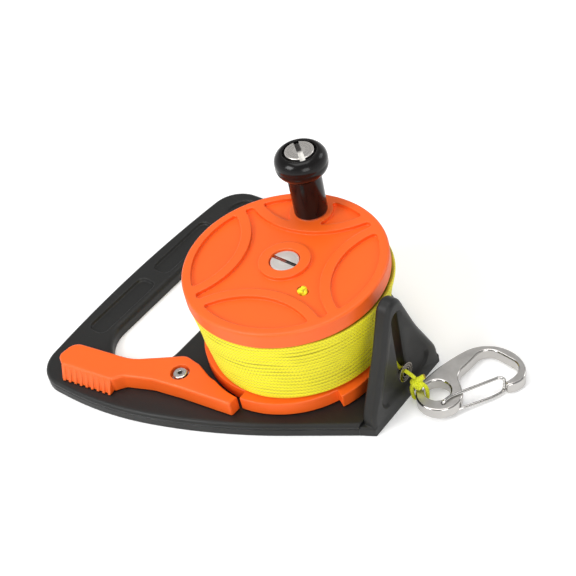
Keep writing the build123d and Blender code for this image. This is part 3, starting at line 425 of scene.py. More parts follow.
def makeTurnedSteel(name, look):
    finish = turnedFinish
    centre, top = middle(look["node"]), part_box(look["node"])[1].z
    material, tree, shader = newMaterial(name)
    edges = placeGroup(tree, softEdges, Radius=finish["edgeRadius"], Gain=finish["edgeGain"])
    rings = placeGroup(tree, turnedRings, Centre=centre)
    marks = placeGroup(tree, scuffs, Scale=finish["scuffScale"], Amount=finish["scuffs"])
    shades = [dimmed(finish[shade], look["bright"]) for shade in ("dull", "pale")]
    place = coordinates(tree)
    away = vectorCalc(tree, "SUBTRACT", place, centre)
    turn, half = radians(look["slotTurn"]), look["slotWidth"] / 2
    along = vectorCalc(tree, "DOT_PRODUCT", away, (cos(turn), sin(turn), 0.0))
    across = vectorCalc(tree, "DOT_PRODUCT", away, (-sin(turn), cos(turn), 0.0))
    depths = [top - depth for depth in finish["slotDepths"]]
    walls = [half + wall for wall in finish["slotWalls"]]
    deep = mapRange(tree, split(tree, place)[2], *depths, 1.0, 0.0)
    # where the slot's floor is, painted shade and reflection take the place of the metal
    paintedSlotMask = times(tree, deep, mapRange(tree, calc(tree, "ABSOLUTE", across), *walls, 1.0, 0.0))
    toneShift = mapRange(tree, along, -half, half * finish["toneShare"])
    paintedSlotTone = mixColour(tree, toneShift, *look["slotPaintedTones"])
    shade = mixColour(tree, paintedSlotMask, mixColour(tree, rings["Streak"], *shades), paintedSlotTone)
    gloss = patchyGloss(tree, rings["Streak"], look["roughness"], finish)
    # the edges' paler colour is a painted highlight
    setInputs(tree, shader, {
        "Metallic": minus(tree, 1.0, paintedSlotMask),
        "Base Color": mixColour(tree, edges["Edge"], shade, finish["highlightAndWearColour"]),
        "Roughness": plus(tree, gloss, times(tree, marks["Mask"], finish["scuffGloss"])),
    })
    addBump(tree, shader, rings["Height"], finish["ringDepth"], edges["Normal"])
    return material


# cast steel: satin on its flats and polished round its edges, where a darker colour is a painted dark
# reflection
hookLook = {
    "polishedDarkReflection": (0.50, 0.485, 0.465),
    "satin": ((0.60, 0.58, 0.555), (0.70, 0.68, 0.655)),
    "flatSpan": (0.93, 0.985),
    "roughness": (0.12, 0.34),
    "fineGrain": 900.0,
    "broadGrain": 160.0,
    "grainDepth": 0.015 * mm,
    "scuffScale": 90.0,
    "scuffs": 0.6,
    "scuffGloss": 0.15,
}


def makeHookSteel(name, look):
    material, tree, shader = newMaterial(name)
    grain = placeGroup(tree, mouldGrain, Fine=look["fineGrain"], Broad=look["broadGrain"])
    marks = placeGroup(tree, scuffs, Scale=look["scuffScale"], Amount=look["scuffs"])
    level = calc(tree, "ABSOLUTE", split(tree, coordinates(tree, "Normal"))[2])
    flat = mapRange(tree, level, *look["flatSpan"])
    satin = mixColour(tree, mapRange(tree, grain["Patch"], *tintSpan), *look["satin"])
    gloss = mixNumber(tree, flat, *look["roughness"])
    # off the flats, the darker polished colour is a painted dark reflection
    setInputs(tree, shader, {
        "Base Color": mixColour(tree, flat, look["polishedDarkReflection"], satin),
        "Roughness": plus(tree, gloss, times(tree, marks["Mask"], look["scuffGloss"])),
        "Metallic": 1.0,
    })
    addBump(tree, shader, grain["Height"], look["grainDepth"])
    return material


# drawn wire, stamped washers and plain turned parts; the stop washer has grooves round its bore, painted as
# dark rings of shade
plainFinish = {
    "dim": 0.85,
    "edgeRadius": 0.2 * mm,
    "edgeGain": 3.0,
    "glossDrop": 0.03,
    "glossRise": 0.05,
    "fineGrain": 2200.0,
    "broadGrain": 300.0,
    "grainDepth": 0.004 * mm,
    "groovePitch": 1.25 * mm,
    "grooveSpan": (0.16, 0.26),
    "grooveShadeColour": (0.07, 0.055, 0.045),
}
plainLooks = {
    "brightSteel": {"colour": (0.58, 0.57, 0.55), "roughness": 0.15, "grooved": None},
    "washerSteel": {"colour": (0.50, 0.46, 0.40), "roughness": 0.14, "grooved": "stop_washer"},
}


def makePlainSteel(name, look):
    finish = plainFinish
    material, tree, shader = newMaterial(name)
    grain = placeGroup(tree, mouldGrain, Fine=finish["fineGrain"], Broad=finish["broadGrain"])
    edges = placeGroup(tree, softEdges, Radius=finish["edgeRadius"], Gain=finish["edgeGain"])
    shade = mixColour(tree, grain["Patch"], dimmed(look["colour"], finish["dim"]), look["colour"])
    if look["grooved"]:
        away = vectorCalc(tree, "SUBTRACT", coordinates(tree), middle(look["grooved"]))
        reach = vectorCalc(tree, "LENGTH", vectorCalc(tree, "MULTIPLY", away, (0.0, 1.0, 1.0)))
        phase = calc(tree, "FRACT", calc(tree, "DIVIDE", reach, finish["groovePitch"]))
        offGroove = calc(tree, "ABSOLUTE", minus(tree, phase, 0.5))
        # the grooves are dark rings of painted shade
        groove = mapRange(tree, offGroove, *finish["grooveSpan"], 1.0, 0.0)
        shade = mixColour(tree, groove, shade, finish["grooveShadeColour"])
    setInputs(tree, shader, {
        "Base Color": shade,
        "Roughness": patchyGloss(tree, grain["Patch"], look["roughness"], finish),
        "Metallic": 1.0,
    })
    addBump(tree, shader, grain["Height"], finish["grainDepth"], edges["Normal"])
    return material


# bright braided line, olive between its plaits and, where it is laid, in the grooves beside its crown, both
# painted shade; fine fibre stripes take the olive too
lineFinish = {
    "pitch": 1.7 * mm,
    "dim": 0.92,
    "fineGrain": 700.0,
    "broadGrain": 90.0,
    "gapShadeShare": 0.8,
    "fibreShare": 0.12,
    "crownSpan": (0.10, 0.20),
    "unevenSpan": (0.42, 0.58),
    "unevenLeast": 0.6,
    "roughness": (0.48, 0.62),
    "sheen": 0.15,
    "sheenRoughness": 0.4,
    "paintedGlowColour": (0.9, 0.8, 0.02),
    "reliefDepth": 0.12 * mm,
}
# deep is the olive of the painted shade and of the fibre stripes; sides is how much painted shade a laid
# turn's grooves take
lineLooks = {
    "lineYellow": {"bright": (0.98, 0.90, 0.012), "deep": (0.42, 0.33, 0.006), "paintedGlow": 0.06, "sides": 0.0},
    "lineLaid": {"bright": (0.98, 0.90, 0.012), "deep": (0.30, 0.22, 0.004), "paintedGlow": 0.06, "sides": 0.92},
    "lineGreenish": {"bright": (0.84, 0.90, 0.012), "deep": (0.36, 0.36, 0.005), "paintedGlow": 0.06, "sides": 0.0},
    "lineTip": {"bright": (0.50, 0.36, 0.02), "deep": (0.24, 0.16, 0.01), "paintedGlow": 0.0, "sides": 0.0},
    "lineDeep": {"bright": (0.66, 0.54, 0.010), "deep": (0.24, 0.18, 0.004), "paintedGlow": 0.0, "sides": 0.0},
}


def makeLine(name, look):
    finish = lineFinish
    material, tree, shader = newMaterial(name)
    weave = placeGroup(tree, braid, Pitch=finish["pitch"])
    tint = placeGroup(tree, mouldGrain, Fine=finish["fineGrain"], Broad=finish["broadGrain"])
    shade = mixColour(tree, tint["Patch"], look["bright"], dimmed(look["bright"], finish["dim"]))
    # the gaps between plaits take the olive as painted shade
    shade = mixColour(tree, times(tree, weave["Gap"], finish["gapShadeShare"]), shade, look["deep"])
    shade = mixColour(tree, times(tree, weave["Fibre"], finish["fibreShare"]), shade, look["deep"])
    around = calc(tree, "FRACT", split(tree, coordinates(tree, "UV"))[1])
    offCrown = calc(tree, "ABSOLUTE", minus(tree, around, 0.5))
    unevenShade = mapRange(tree, tint["Patch"], *finish["unevenSpan"], finish["unevenLeast"], 1.0)
    # the grooves beside a laid turn's crown take painted shade, unevenly
    groove = times(tree, mapRange(tree, offCrown, *finish["crownSpan"], 0.0, look["sides"]), unevenShade)
    setInputs(tree, shader, {
        "Base Color": mixColour(tree, groove, shade, look["deep"]),
        "Roughness": mapRange(tree, weave["Fibre"], 0.0, 1.0, *finish["roughness"]),
        "Sheen Weight": finish["sheen"],
        "Sheen Roughness": finish["sheenRoughness"],
        # a painted glow standing in for the line's fluorescence
        "Emission Color": finish["paintedGlowColour"],
        "Emission Strength": look["paintedGlow"],
    })
    addBump(tree, shader, weave["Height"], finish["reliefDepth"])
    return material


finishes = {"hookSteel": makeHookSteel("hookSteel", hookLook)}
for makeFinish, looks in (
    (makePlastic, plasticLooks),
    (makeTurnedSteel, turnedLooks),
    (makePlainSteel, plainLooks),
    (makeLine, lineLooks),
):
    for name, look in looks.items():
        finishes[name] = makeFinish(name, look)
print("materials made:", len(finishes))


# puts a piece in a node's place: on the node's body, with the node hidden
def dress(piece, name):
    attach(piece, bodyOf[name])
    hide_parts(name)


def link(name, mesh, finish):
    piece = bpy.data.objects.new(name, mesh)
    scene.collection.objects.link(piece)
    mesh.materials.clear()
    mesh.materials.append(finishes[finish])
    return piece


def meshFrom(name, shape):
    mesh = bpy.data.meshes.new(name)
    shape.to_mesh(mesh)
    shape.free()
    return mesh


# the plain mesh of an object with its modifiers or its curve worked out
def settledMesh(piece):
    bpy.context.view_layer.update()
    return bpy.data.meshes.new_from_object(piece.evaluated_get(bpy.context.evaluated_depsgraph_get()))


# merged copies of the moulded, turned and cast pieces, smooth over their curves and crisp at their corners
skinSetup = {"merge": 0.002 * mm, "sliver": 0.0005 * mm, "sharpAngle": 32.0}
skins = {
    "frame": "framePlastic",
    "line_guide": "framePlastic",
    "spool_flange": "orangePlastic",
    "spool_ratchet": "orangePlastic",
    "thumb_lever": "orangePlastic",
    "knob_grip": "knobPlastic",
    "spindle_bolt": "spindleSteel",
    "knob_bolt": "knobSteel",
    "lever_screw": "leverSteel",
    "lever_washer": "brightSteel",
    "stop_washer": "washerSteel",
    "hook_body": "hookSteel",
    "hook_gate": "brightSteel",
}


def addSkin(name, finish):
    shape = bmesh.new()
    shape.from_mesh(frame["nodes"][name].data)
    bmesh.ops.remove_doubles(shape, verts=shape.verts, dist=skinSetup["merge"])
    bmesh.ops.dissolve_degenerate(shape, edges=shape.edges, dist=skinSetup["sliver"])
    mesh = meshFrom(name + "Skin", shape)
    if "custom_normal" in mesh.attributes:
        mesh.attributes.remove(mesh.attributes["custom_normal"])
    mesh.shade_smooth()
    mesh.set_sharp_from_angle(angle=radians(skinSetup["sharpAngle"]))
    piece = link(name + "Skin", mesh, finish)
    weighted = piece.modifiers.new("weighted", "WEIGHTED_NORMAL")
    weighted.keep_sharp = True
    settled = settledMesh(piece)
    piece.modifiers.remove(weighted)
    piece.data = settled
    dress(piece, name)


for name, finish in skins.items():
    addSkin(name, finish)

# the pieces inside keep their solids' meshes and take a finish
inner = {
    "drumPlastic": ["spool_drum"],
    "bushPlastic": ["upper_bush", "lower_bush", "thrust_washer"],
    "brightSteel": [
        "spindle_sleeve", "spindle_nut", "head_washer", "knob_sleeve", "knob_washer", "knob_nut",
        "lever_sleeve", "lever_spacer", "lever_nut", "lever_spring", "spool_screws", "guide_screws",
    ],
}
for finish, names in inner.items():
    for name in names:
        coats = frame["nodes"][name].data.materials
        coats.clear()
        coats.append(finishes[finish])
print("skins made:", len(skins), "and inner pieces:", sum(len(names) for names in inner.values()))

# the line on the spool: turns of braid laid side by side over the layer below
packLow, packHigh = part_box("line_core")
pack = {
    "footRadius": 46.6 * mm,
    "topRadius": 51.9 * mm,
    "foot": packLow.z,
    "height": packHigh.z - packLow.z,
    "turns": 16.8,
    "flatTurns": 0.45,
    "lineWidth": 2.56 * mm,
    "lineThickness": 1.9 * mm,
    "endGap": 0.15 * mm,
    "stepsPerTurn": 144,
    "sides": 16,
    "sway": 6.0 * mm,
    "swayScale": 17.0,
    "swayDrift": 2.2,
    "heldEnds": (0.03, 0.17),
    "jitter": 0.32 * mm,
    "jitterScale": 21.0,
    "lift": 0.30 * mm,
    "liftLevel": 0.8,
    "liftScale": 0.8,
    "bulge": 2.2 * mm,
    "bulgeTurn": 38.0,
    "bulgeFrom": 0.2,
    "bulgeClimb": (0.35, 0.95),
    "tuckedShare": 0.012,
    "seed": 4.7,
}


def packRadius(height):
    share = (height - pack["foot"]) / pack["height"]
    return pack["footRadius"] + (pack["topRadius"] - pack["footRadius"]) * share


layFoot = pack["foot"] + pack["endGap"] + pack["lineWidth"] / 2
layTop = pack["foot"] + pack["height"] - pack["endGap"] - pack["lineWidth"] / 2
bulgeTurn = radians(pack["bulgeTurn"])
layInputs = {
    "Turns": pack["turns"],
    "Flat Turns": pack["flatTurns"],
    "Foot Radius": packRadius(layFoot) - pack["lineThickness"] / 2,
    "Top Radius": packRadius(layTop) - pack["lineThickness"] / 2,
    "Foot": layFoot,
    "Height": layTop - layFoot,
    "Line Width": pack["lineWidth"],
    "Line Thickness": pack["lineThickness"],
    "Steps": pack["stepsPerTurn"],
    "Sides": pack["sides"],
    "Sway": pack["sway"],
    "Sway Scale": pack["swayScale"],
    "Sway Drift": pack["swayDrift"],
    "Jitter": pack["jitter"],
    "Jitter Scale": pack["jitterScale"],
    "Lift": pack["lift"],
    "Lift Level": pack["liftLevel"],
    "Lift Scale": pack["liftScale"],
    "Bulge": pack["bulge"],
    "Bulge Way": (cos(bulgeTurn), sin(bulgeTurn), 0.0),
    "Seed": pack["seed"],
    "Material": finishes["lineLaid"],
}


def capture(tree, geometry, label, value):
    made = tree.nodes.new("GeometryNodeCaptureAttribute")
    made.capture_items.new("FLOAT", label)
    setInputs(tree, made, {"Geometry": geometry, label: value})
    return made.outputs


# lays a flattened tube in a climbing spiral
def makeLayTree(inputs):
    tree, given, out = newGroup("layLine", "GeometryNodeTree", inputs, {"Geometry": "NodeSocketGeometry"})
    spiral = addNode(tree, "GeometryNodeCurveSpiral", {
        "Resolution": given["Steps"],
        "Rotations": given["Turns"],
        "Start Radius": given["Foot Radius"],
        "End Radius": given["Top Radius"],
        "Height": 0.0,
    })
    parameter = addNode(tree, "GeometryNodeSplineParameter")
    share, reach = parameter["Factor"], parameter["Length"]
    place = addNode(tree, "GeometryNodeInputPosition")[0]
    ends = calc(tree, "PINGPONG", share, 0.5)
    along = capture(tree, spiral[0], "Along", reach)

    # height: a climb that starts and ends level, with sway and jitter away from both ends
    level = calc(tree, "DIVIDE", given["Flat Turns"], given["Turns"])
    climb = times(tree, mapRange(tree, share, level, minus(tree, 1.0, level)), given["Height"])
    seeded = vectorCalc(tree, "ADD", place, given["Seed"])
    drift = combine(tree, z=times(tree, climb, given["Sway Drift"]))  # so that turns part and close up
    swayNoise = noise(tree, vectorCalc(tree, "ADD", seeded, drift), given["Sway Scale"], detail=1.0)
    sway = times(tree, centred(tree, swayNoise), given["Sway"])
    jitterNoise = noiseAlong(tree, plus(tree, reach, given["Seed"]), given["Jitter Scale"])
    jitter = times(tree, centred(tree, jitterNoise), given["Jitter"])
    free = mapRange(tree, ends, *pack["heldEnds"])
    height = plus(tree, times(tree, plus(tree, sway, jitter), free), climb, given["Foot"])

    # reach from the axis: uneven lift, a bulge on one side of the upper turns, and ends tucked under
    outward = vectorCalc(tree, "NORMALIZE", vectorCalc(tree, "MULTIPLY", place, (1.0, 1.0, 0.0)))
    liftScale = times(tree, given["Jitter Scale"], given["Lift Scale"])
    liftNoise = noiseAlong(tree, minus(tree, reach, given["Seed"]), liftScale)
    lift = times(tree, minus(tree, liftNoise, given["Lift Level"]), given["Lift"])
    facing = vectorCalc(tree, "DOT_PRODUCT", outward, given["Bulge Way"])
    lobe = mapRange(tree, facing, pack["bulgeFrom"], 1.0)
    bulge = times(tree, lobe, mapRange(tree, share, *pack["bulgeClimb"]), given["Bulge"])
    tuck = minus(tree, mapRange(tree, ends, 0.0, pack["tuckedShare"]), 1.0)
    swell = plus(tree, lift, bulge, times(tree, tuck, given["Line Thickness"]))
    sideways = addNode(tree, "ShaderNodeVectorMath", {0: outward, "Scale": swell}, operation="SCALE")[0]
    moved = addNode(tree, "GeometryNodeSetPosition", {
        "Geometry": along["Geometry"],
        "Offset": vectorCalc(tree, "ADD", sideways, combine(tree, z=height)),
    })
    upright = addNode(tree, "GeometryNodeSetCurveNormal", {"Curve": moved[0]}, mode="Z_UP")

    # the section, flattened, and the tube, whose map runs in metres along it and once round it
    circle = addNode(tree, "GeometryNodeCurvePrimitiveCircle", {
        "Resolution": given["Sides"],
        "Radius": 0.5,
    })
    around = capture(tree, circle[0], "Around", share)
    section = addNode(tree, "GeometryNodeTransform", {
        "Geometry": around["Geometry"],
        "Scale": combine(tree, given["Line Thickness"], given["Line Width"], 1.0),
    })
    tube = addNode(tree, "GeometryNodeCurveToMesh", {
        "Curve": upright[0],
        "Profile Curve": section[0],
        "Fill Caps": True,
    })
    mapped = addNode(tree, "GeometryNodeStoreNamedAttribute", {
        "Geometry": tube[0],
        "Name": "UVMap",
        "Value": combine(tree, along["Along"], around["Around"]),
    }, data_type="FLOAT2", domain="CORNER")
    smooth = addNode(tree, "GeometryNodeSetShadeSmooth", {"Geometry": mapped[0]})
    realized = addNode(tree, "GeometryNodeRealizeInstances", {"Geometry": smooth[0]})
    painted = addNode(tree, "GeometryNodeSetMaterial", {
        "Geometry": realized[0],
        "Material": given["Material"],
    })
    return setOutputs(tree, out, Geometry=painted[0])


def runTree(name, tree, inputs, finish):
    piece = link(name, bpy.data.meshes.new(name + "Seed"), finish)
    modifier = piece.modifiers.new("nodes", "NODES")
    modifier.node_group = tree
    for item in tree.interface.items_tree:
        if item.in_out == "INPUT":
            modifier[item.identifier] = inputs[item.name]
    mesh = settledMesh(piece)
    piece.modifiers.remove(modifier)
    mesh.materials.clear()
    mesh.materials.append(finishes[finish])
    piece.data = mesh
    return piece


laidLine = runTree("laidLine", makeLayTree(layInputs), layInputs, "lineLaid")
dress(laidLine, "line_winding")


# a ring whose outline is turned round the spool's axis
def lathe(name, outline, segments, mapRows, finish):
    shape = bmesh.new()
    uvs = shape.loops.layers.uv.new("UVMap")
    rings = []
    for step in range(segments):
        turn = 2 * pi * step / segments
        spots = [(reach * cos(turn), reach * sin(turn), height) for reach, height in outline]
        rings.append([shape.verts.new(spot) for spot in spots])
    for step in range(segments):
        here, there = rings[step], rings[(step + 1) % segments]
        for row, (reach, height) in enumerate(outline):
            after = (row + 1) % len(outline)
            face = shape.faces.new((here[row], there[row], there[after], here[after]))
            face.smooth = True
            run = 2 * pi * reach / segments
            ends = ((step, row), (step + 1, row), (step + 1, row + 1), (step, row + 1))
            for corner, (along, across) in zip(face.loops, ends):
                corner[uvs].uv = (along * run, across / mapRows)
    bmesh.ops.recalc_face_normals(shape, faces=shape.faces)
    return link(name, meshFrom(name, shape), finish)


# the layer below, which shows between the turns, in a darker copy of the line's colour as painted shade
core = {"boreRadius": 20.05 * mm, "groove": 0.35 * mm, "rowsPerTurn": 8, "segments": 120, "mapRows": 12}
coreRows = int(pack["turns"]) * core["rowsPerTurn"]
coreOutline = [(core["boreRadius"], pack["foot"] + pack["height"]), (core["boreRadius"], pack["foot"])]
for row in range(coreRows + 1):
    height = pack["foot"] + pack["height"] * row / coreRows
    groove = core["groove"] * (1 - abs(sin(pi * row / core["rowsPerTurn"])))
    coreOutline.append((packRadius(height) - pack["lineThickness"] - groove, height))
layerBelow = lathe("layerBelow", coreOutline, core["segments"], core["mapRows"], "lineDeep")
dress(layerBelow, "line_core")
print("line on the spool:", len(laidLine.data.polygons), "faces")

# braided tubes for the line's free parts, with their plaits in relief, in millimetres
braidRelief = {
    "pitch": 1.7,
    "plaits": 4,
    "power": 0.35,
    "depth": 0.085,
    "sides": 24,
    "step": 0.14,
    "pathDetail": 20,
}
tubeEnd = {"flareReach": 2.2, "insetShare": 0.7, "insetRise": 0.25, "poleRise": 0.35}


# the points, in metres, of a smooth line along a route in millimetres
def smoothPath(route, cyclic=False):
    data = bpy.data.curves.new("route", "CURVE")
    data.dimensions = "3D"
    data.resolution_u = braidRelief["pathDetail"]
    spline = data.splines.new("NURBS")
    spline.points.add(len(route) - 1)
    for control, point in zip(spline.points, route):
        control.co = (*[value * mm for value in point], 1.0)
    spline.order_u = 3
    spline.use_cyclic_u = cyclic
    spline.use_endpoint_u = not cyclic
    holder = bpy.data.objects.new("route", data)
    scene.collection.objects.link(holder)
    mesh = settledMesh(holder)
    path = [vertex.co.copy() for vertex in mesh.vertices]
    bpy.data.objects.remove(holder)
    bpy.data.meshes.remove(mesh)
    return path


# the same path in even steps, and its length
def evenPath(path, step, cyclic):
    if cyclic:
        path = path + [path[0]]
    marks = [0.0]
    for before, after in zip(path, path[1:]):
        marks.append(marks[-1] + (after - before).length)
    length = marks[-1]
    count = max(2, round(length / step))
    even, index = [], 0
    for tick in range(count if cyclic else count + 1):
        reach = length * tick / count
        while index < len(marks) - 2 and marks[index + 1] < reach:
            index += 1
        span = marks[index + 1] - marks[index] or step  # where two points meet, any span will do
        even.append(path[index].lerp(path[index + 1], min((reach - marks[index]) / span, 1.0)))
    return even, length


# how the path runs at each point, and a side that turns with it without twisting
def pathFrames(points, cyclic):
    count = len(points)
    ways = []
    for index in range(count):
        before = points[index - 1] if index or cyclic else points[0]
        after = points[(index + 1) % count] if index < count - 1 or cyclic else points[-1]
        ways.append((after - before).normalized())
    sides = [ways[0].orthogonal().normalized()]
    for before, after in zip(ways, ways[1:]):
        sides.append(before.rotation_difference(after) @ sides[-1])
    twist = 0.0
    if cyclic:  # a closed path spreads what is left over along itself
        last = ways[-1].rotation_difference(ways[0]) @ sides[-1]
        twist = atan2(last.cross(sides[0]).dot(ways[0]), last.dot(sides[0]))
    turned = []
    for index, (way, side) in enumerate(zip(ways, sides)):
        turned.append(Quaternion(way, twist * index / count) @ side)
    return ways, turned


# how high the braid's plaits stand, from 0 to 1
def plaitHeight(along, around):
    lean, turn = along / (braidRelief["pitch"] * mm), around * braidRelief["plaits"]
    domes = [2 * min(way - floor(way), 1 - way + floor(way)) for way in (lean + turn, lean - turn)]
    return (domes[0] * domes[1]) ** braidRelief["power"]


# closes a tube's end with a low dome
def capEnd(shape, ring, way, radius):
    centre = sum((corner.co for corner in ring), Vector()) / len(ring)
    rise = way * radius
    inset = []
    for corner in ring:
        inward = centre + (corner.co - centre) * tubeEnd["insetShare"]
        inset.append(shape.verts.new(inward + rise * tubeEnd["insetRise"]))
    pole = shape.verts.new(centre + rise * tubeEnd["poleRise"])
    for corner in range(len(ring)):
        after = (corner + 1) % len(ring)
        shape.faces.new((ring[corner], ring[after], inset[after], inset[corner]))
        shape.faces.new((inset[corner], inset[after], pole))


# a braided tube along a path; its map runs in metres along it and once round it
def braidTube(name, path, radius, finish, cyclic=False, endFlare=1.0):
    points, length = evenPath(path, braidRelief["step"] * mm, cyclic)
    ways, bases = pathFrames(points, cyclic)
    count, sides = len(points), braidRelief["sides"]
    spans = count if cyclic else count - 1
    shape = bmesh.new()
    uvs = shape.loops.layers.uv.new("UVMap")
    flareFrom = length - tubeEnd["flareReach"] * radius
    rings = []
    for index, point in enumerate(points):
        along = length * index / spans
        flare = 1 + (endFlare - 1) * max(0.0, (along - flareFrom) / (length - flareFrom))
        ring = []
        for corner in range(sides):
            around = corner / sides
            reach = radius * flare + braidRelief["depth"] * mm * (plaitHeight(along, around) - 0.5)
            outward = Quaternion(ways[index], 2 * pi * around) @ bases[index]
            ring.append(shape.verts.new(point + outward * reach))
        rings.append(ring)
    for index in range(spans):
        here, there = rings[index], rings[(index + 1) % count]
        for corner in range(sides):
            after = (corner + 1) % sides
            face = shape.faces.new((here[corner], here[after], there[after], there[corner]))
            ends = ((index, corner), (index, corner + 1), (index + 1, corner + 1), (index + 1, corner))
            for spot, (tick, turn) in zip(face.loops, ends):
                spot[uvs].uv = (tick * length / spans, turn / sides)
    if not cyclic:
        capEnd(shape, rings[0], -ways[0], radius)
        capEnd(shape, rings[-1], ways[-1], radius)
    bmesh.ops.recalc_face_normals(shape, faces=shape.faces)
    mesh = meshFrom(name, shape)
    mesh.shade_smooth()
    return link(name, mesh, finish)


# the free end of the line, on part.py's route from the pack through the guide and washer to the knot
lead = {
    "diameter": 1.9,
    "route": [(41.983, 25.828, 27.0), (54.6, 1.3, 20.6), (67.9, 1.2, 17.6), (69.277, 1.467, 15.556)],
    "length": 43.2,
}
leadPath = smoothPath(lead["route"])
leadLine = braidTube("leadLine", leadPath, lead["diameter"] / 2 * mm, "lineGreenish")
dress(leadLine, "line_lead")

# the knot: an overhand turn pulled tight round the loop's legs, with a short melted tail
knot = {
    "centre": (70.6, 1.3, 12.7),
    "axis": (0.62, -0.42, 0.66),
    "size": 0.88,
    "flat": 1.0,
    "tail": [(0.2, 0.6, 1.4), (0.9, 1.6, 2.2), (1.6, 2.4, 2.5), (2.2, 3.1, 2.8)],
    "tip": [(2.16, 3.06, 2.78), (2.3, 3.2, 2.84), (2.46, 3.36, 2.9)],
    "tailFlare": 1.1,
    "lineRadius": 1.2,
}
knotSteps = 18


# the closed route of an overhand turn, which is a trefoil
def knotRoute(setup):
    lean = Vector(setup["axis"]).to_track_quat("Z", "Y")
    route = []
    for index in range(knotSteps):
        turn = 2 * pi * index / knotSteps
        height = -sin(3 * turn) * setup["flat"] / setup["size"]
        point = Vector((sin(turn) + 2 * sin(2 * turn), cos(turn) - 2 * cos(2 * turn), height))
        route.append(Vector(setup["centre"]) + lean @ (point * setup["size"]))
    return route


def stepsFrom(centre, steps):
    return [Vector(centre) + Vector(step) for step in steps]


knotRadius = knot["lineRadius"] * mm
knotTurns = braidTube("knotTurns", smoothPath(knotRoute(knot), True), knotRadius, "lineGreenish", True)
tailPath = smoothPath(stepsFrom(knot["centre"], knot["tail"]))
knotTail = braidTube("knotTail", tailPath, knotRadius, "lineGreenish", False, knot["tailFlare"])
tipPath = smoothPath(stepsFrom(knot["centre"], knot["tip"]))
knotTip = braidTube("knotTip", tipPath, knotRadius * knot["tailFlare"], "lineTip")
for piece in (knotTurns, knotTail, knotTip):
    dress(piece, "line_knot")

# the loop round the wall of the hook's eye: one side's reach and height, which the other side mirrors
loop = {
    "centre": (71.0, 1.8),
    "turn": 21.5,
    "side": [(0.6, 13.4), (2.6, 11.6), (3.95, 9.0), (3.9, 5.0), (3.55, 1.1), (1.6, 0.98)],
    "lineRadius": 0.98,
}
loopTurn = radians(loop["turn"])
loopFlat = loop["side"] + [(-reach, height) for reach, height in reversed(loop["side"])]
loopRoute = [
    (loop["centre"][0] + cos(loopTurn) * reach, loop["centre"][1] + sin(loopTurn) * reach, height)
    for reach, height in loopFlat
]
loopLine = braidTube("loopLine", smoothPath(loopRoute), loop["lineRadius"] * mm, "lineGreenish")
dress(loopLine, "line_loop")

# the inner end's knot in the flange's hole, and the line that comes up to it
endLow, endHigh = [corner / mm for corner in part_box("line_end_knot")]
endMiddle = (endLow + endHigh) / 2
endSunk = 2.1
endKnot = {
    "centre": (endMiddle.x, endMiddle.y, endHigh.z - endSunk),
    "axis": (0.5, -0.2, 0.84),
    "size": 0.52,
    "flat": 0.5,
    "lineRadius": 1.25,
    "foot": (endMiddle.x, endMiddle.y, endLow.z),
    "fromFoot": [(0.0, 0.0, 0.2), (0.2, 0.0, 3.0)],
    "fromCentre": [(-0.2, 0.1, 0.0), (0.9, -0.5, 1.0)],
    "stubShare": 0.95,
}
endTurnsPath = smoothPath(knotRoute(endKnot), True)
endTurns = braidTube("endTurns", endTurnsPath, endKnot["lineRadius"] * mm, "lineYellow", True)
endRoute = stepsFrom(endKnot["foot"], endKnot["fromFoot"])
endRoute += stepsFrom(endKnot["centre"], endKnot["fromCentre"])
stubRadius = lead["diameter"] / 2 * endKnot["stubShare"] * mm
endLine = braidTube("endLine", smoothPath(endRoute), stubRadius, "lineYellow")
for piece in (endTurns, endLine):
    dress(piece, "line_end_knot")
print("line ends made: lead, knot, loop and end knot")

# floor, light and sky
stageSetup = {
    "floorHalf": 2.5,
    "floorDrop": 0.05 * mm,
    "floorColour": (0.90, 0.90, 0.90),
    "floorDim": 0.99,
    "floorPatches": 3.0,
    "floorRoughness": 0.9,
    "floorSpecular": 0.1,
    "floorGlow": 0.26,
    "skyLight": 0.30,
    "skyColour": (1.0, 1.0, 1.0),
    "skySpan": (0.05, 0.55),
    "horizon": 1.0,
    "ceiling": 0.36,
}
lampAim = (0.0, 0.0, 0.03)
lamps = {
    "topLamp": {"place": (-0.10, 0.10, 1.30), "size": 0.9, "power": 7.4, "colour": (1.0, 0.99, 0.98)},
    "keyLamp": {"place": (-0.40, -1.00, 0.95), "size": 0.6, "power": 10.5, "colour": (1.0, 1.0, 1.0)},
    "fillLamp": {"place": (0.85, -0.55, 0.45), "size": 0.5, "power": 3.4, "colour": (1.0, 1.0, 0.99)},
    "rimLamp": {"place": (0.45, 0.95, 0.60), "size": 0.4, "power": 1.6, "colour": (0.98, 0.99, 1.0)},
}


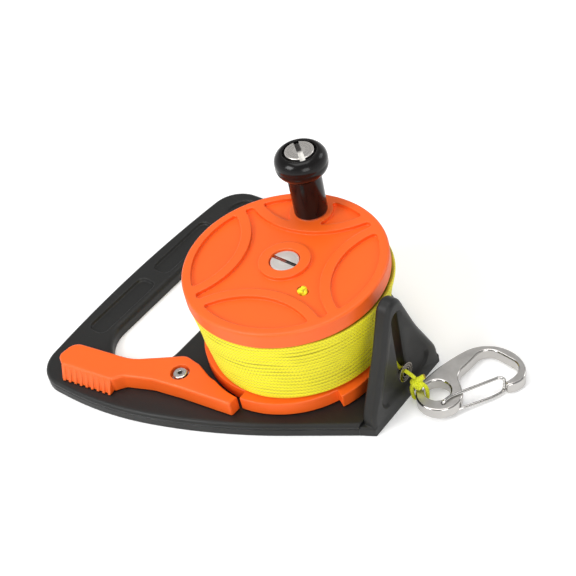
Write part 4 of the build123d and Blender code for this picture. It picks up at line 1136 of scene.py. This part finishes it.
# 1 for rays that see the background straight, mirrored or through glass, and 0 for the rest
def seenRays(tree):
    path = addNode(tree, "ShaderNodeLightPath")
    seen = calc(tree, "MAXIMUM", path["Is Camera Ray"], path["Is Glossy Ray"])
    return calc(tree, "MAXIMUM", seen, path["Is Transmission Ray"])


def addFloor(setup):
    half, drop = setup["floorHalf"], -setup["floorDrop"]
    mesh = bpy.data.meshes.new("floor")
    corners = [(-half, -half, drop), (half, -half, drop), (half, half, drop), (-half, half, drop)]
    mesh.from_pydata(corners, [], [(0, 1, 2, 3)])
    material, tree, shader = newMaterial("paleFloor")
    patch = noise(tree, coordinates(tree), setup["floorPatches"])
    pale = setup["floorColour"]
    setInputs(tree, shader, {
        "Base Color": mixColour(tree, patch, pale, dimmed(pale, setup["floorDim"])),
        "Roughness": setup["floorRoughness"],
        "Specular IOR Level": setup["floorSpecular"],
        "Emission Color": (1.0, 1.0, 1.0),
        "Emission Strength": times(tree, seenRays(tree), setup["floorGlow"]),
    })
    finishes["paleFloor"] = material
    link("floor", mesh, "paleFloor")


# white behind the object; what mirrors the sky sees a white horizon and a greyer ceiling
def addSky(setup):
    world = bpy.data.worlds.new("sky")
    scene.world = world
    world.use_nodes = True
    tree = world.node_tree
    height = split(tree, coordinates(tree, "Generated"))[2]
    mirrored = mapRange(tree, height, *setup["skySpan"], setup["horizon"], setup["ceiling"])
    straight = addNode(tree, "ShaderNodeLightPath")["Is Camera Ray"]
    seen = mixNumber(tree, straight, mirrored, 1.0)
    setInputs(tree, tree.nodes["Background"], {
        "Color": setup["skyColour"],
        "Strength": mixNumber(tree, seenRays(tree), setup["skyLight"], seen),
    })


def addLamp(name, setup):
    data = bpy.data.lights.new(name, "AREA")
    data.shape = "SQUARE"
    data.size = setup["size"]
    data.energy = setup["power"]
    data.color = setup["colour"]
    lamp = bpy.data.objects.new(name, data)
    scene.collection.objects.link(lamp)
    place = Vector(setup["place"])
    aim = (Vector(lampAim) - place).to_track_quat("-Z", "Y").to_matrix().to_4x4()
    lamp.matrix_world = Matrix.Translation(place) @ aim


addFloor(stageSetup)
addSky(stageSetup)
for name, setup in lamps.items():
    addLamp(name, setup)
print("stage set")
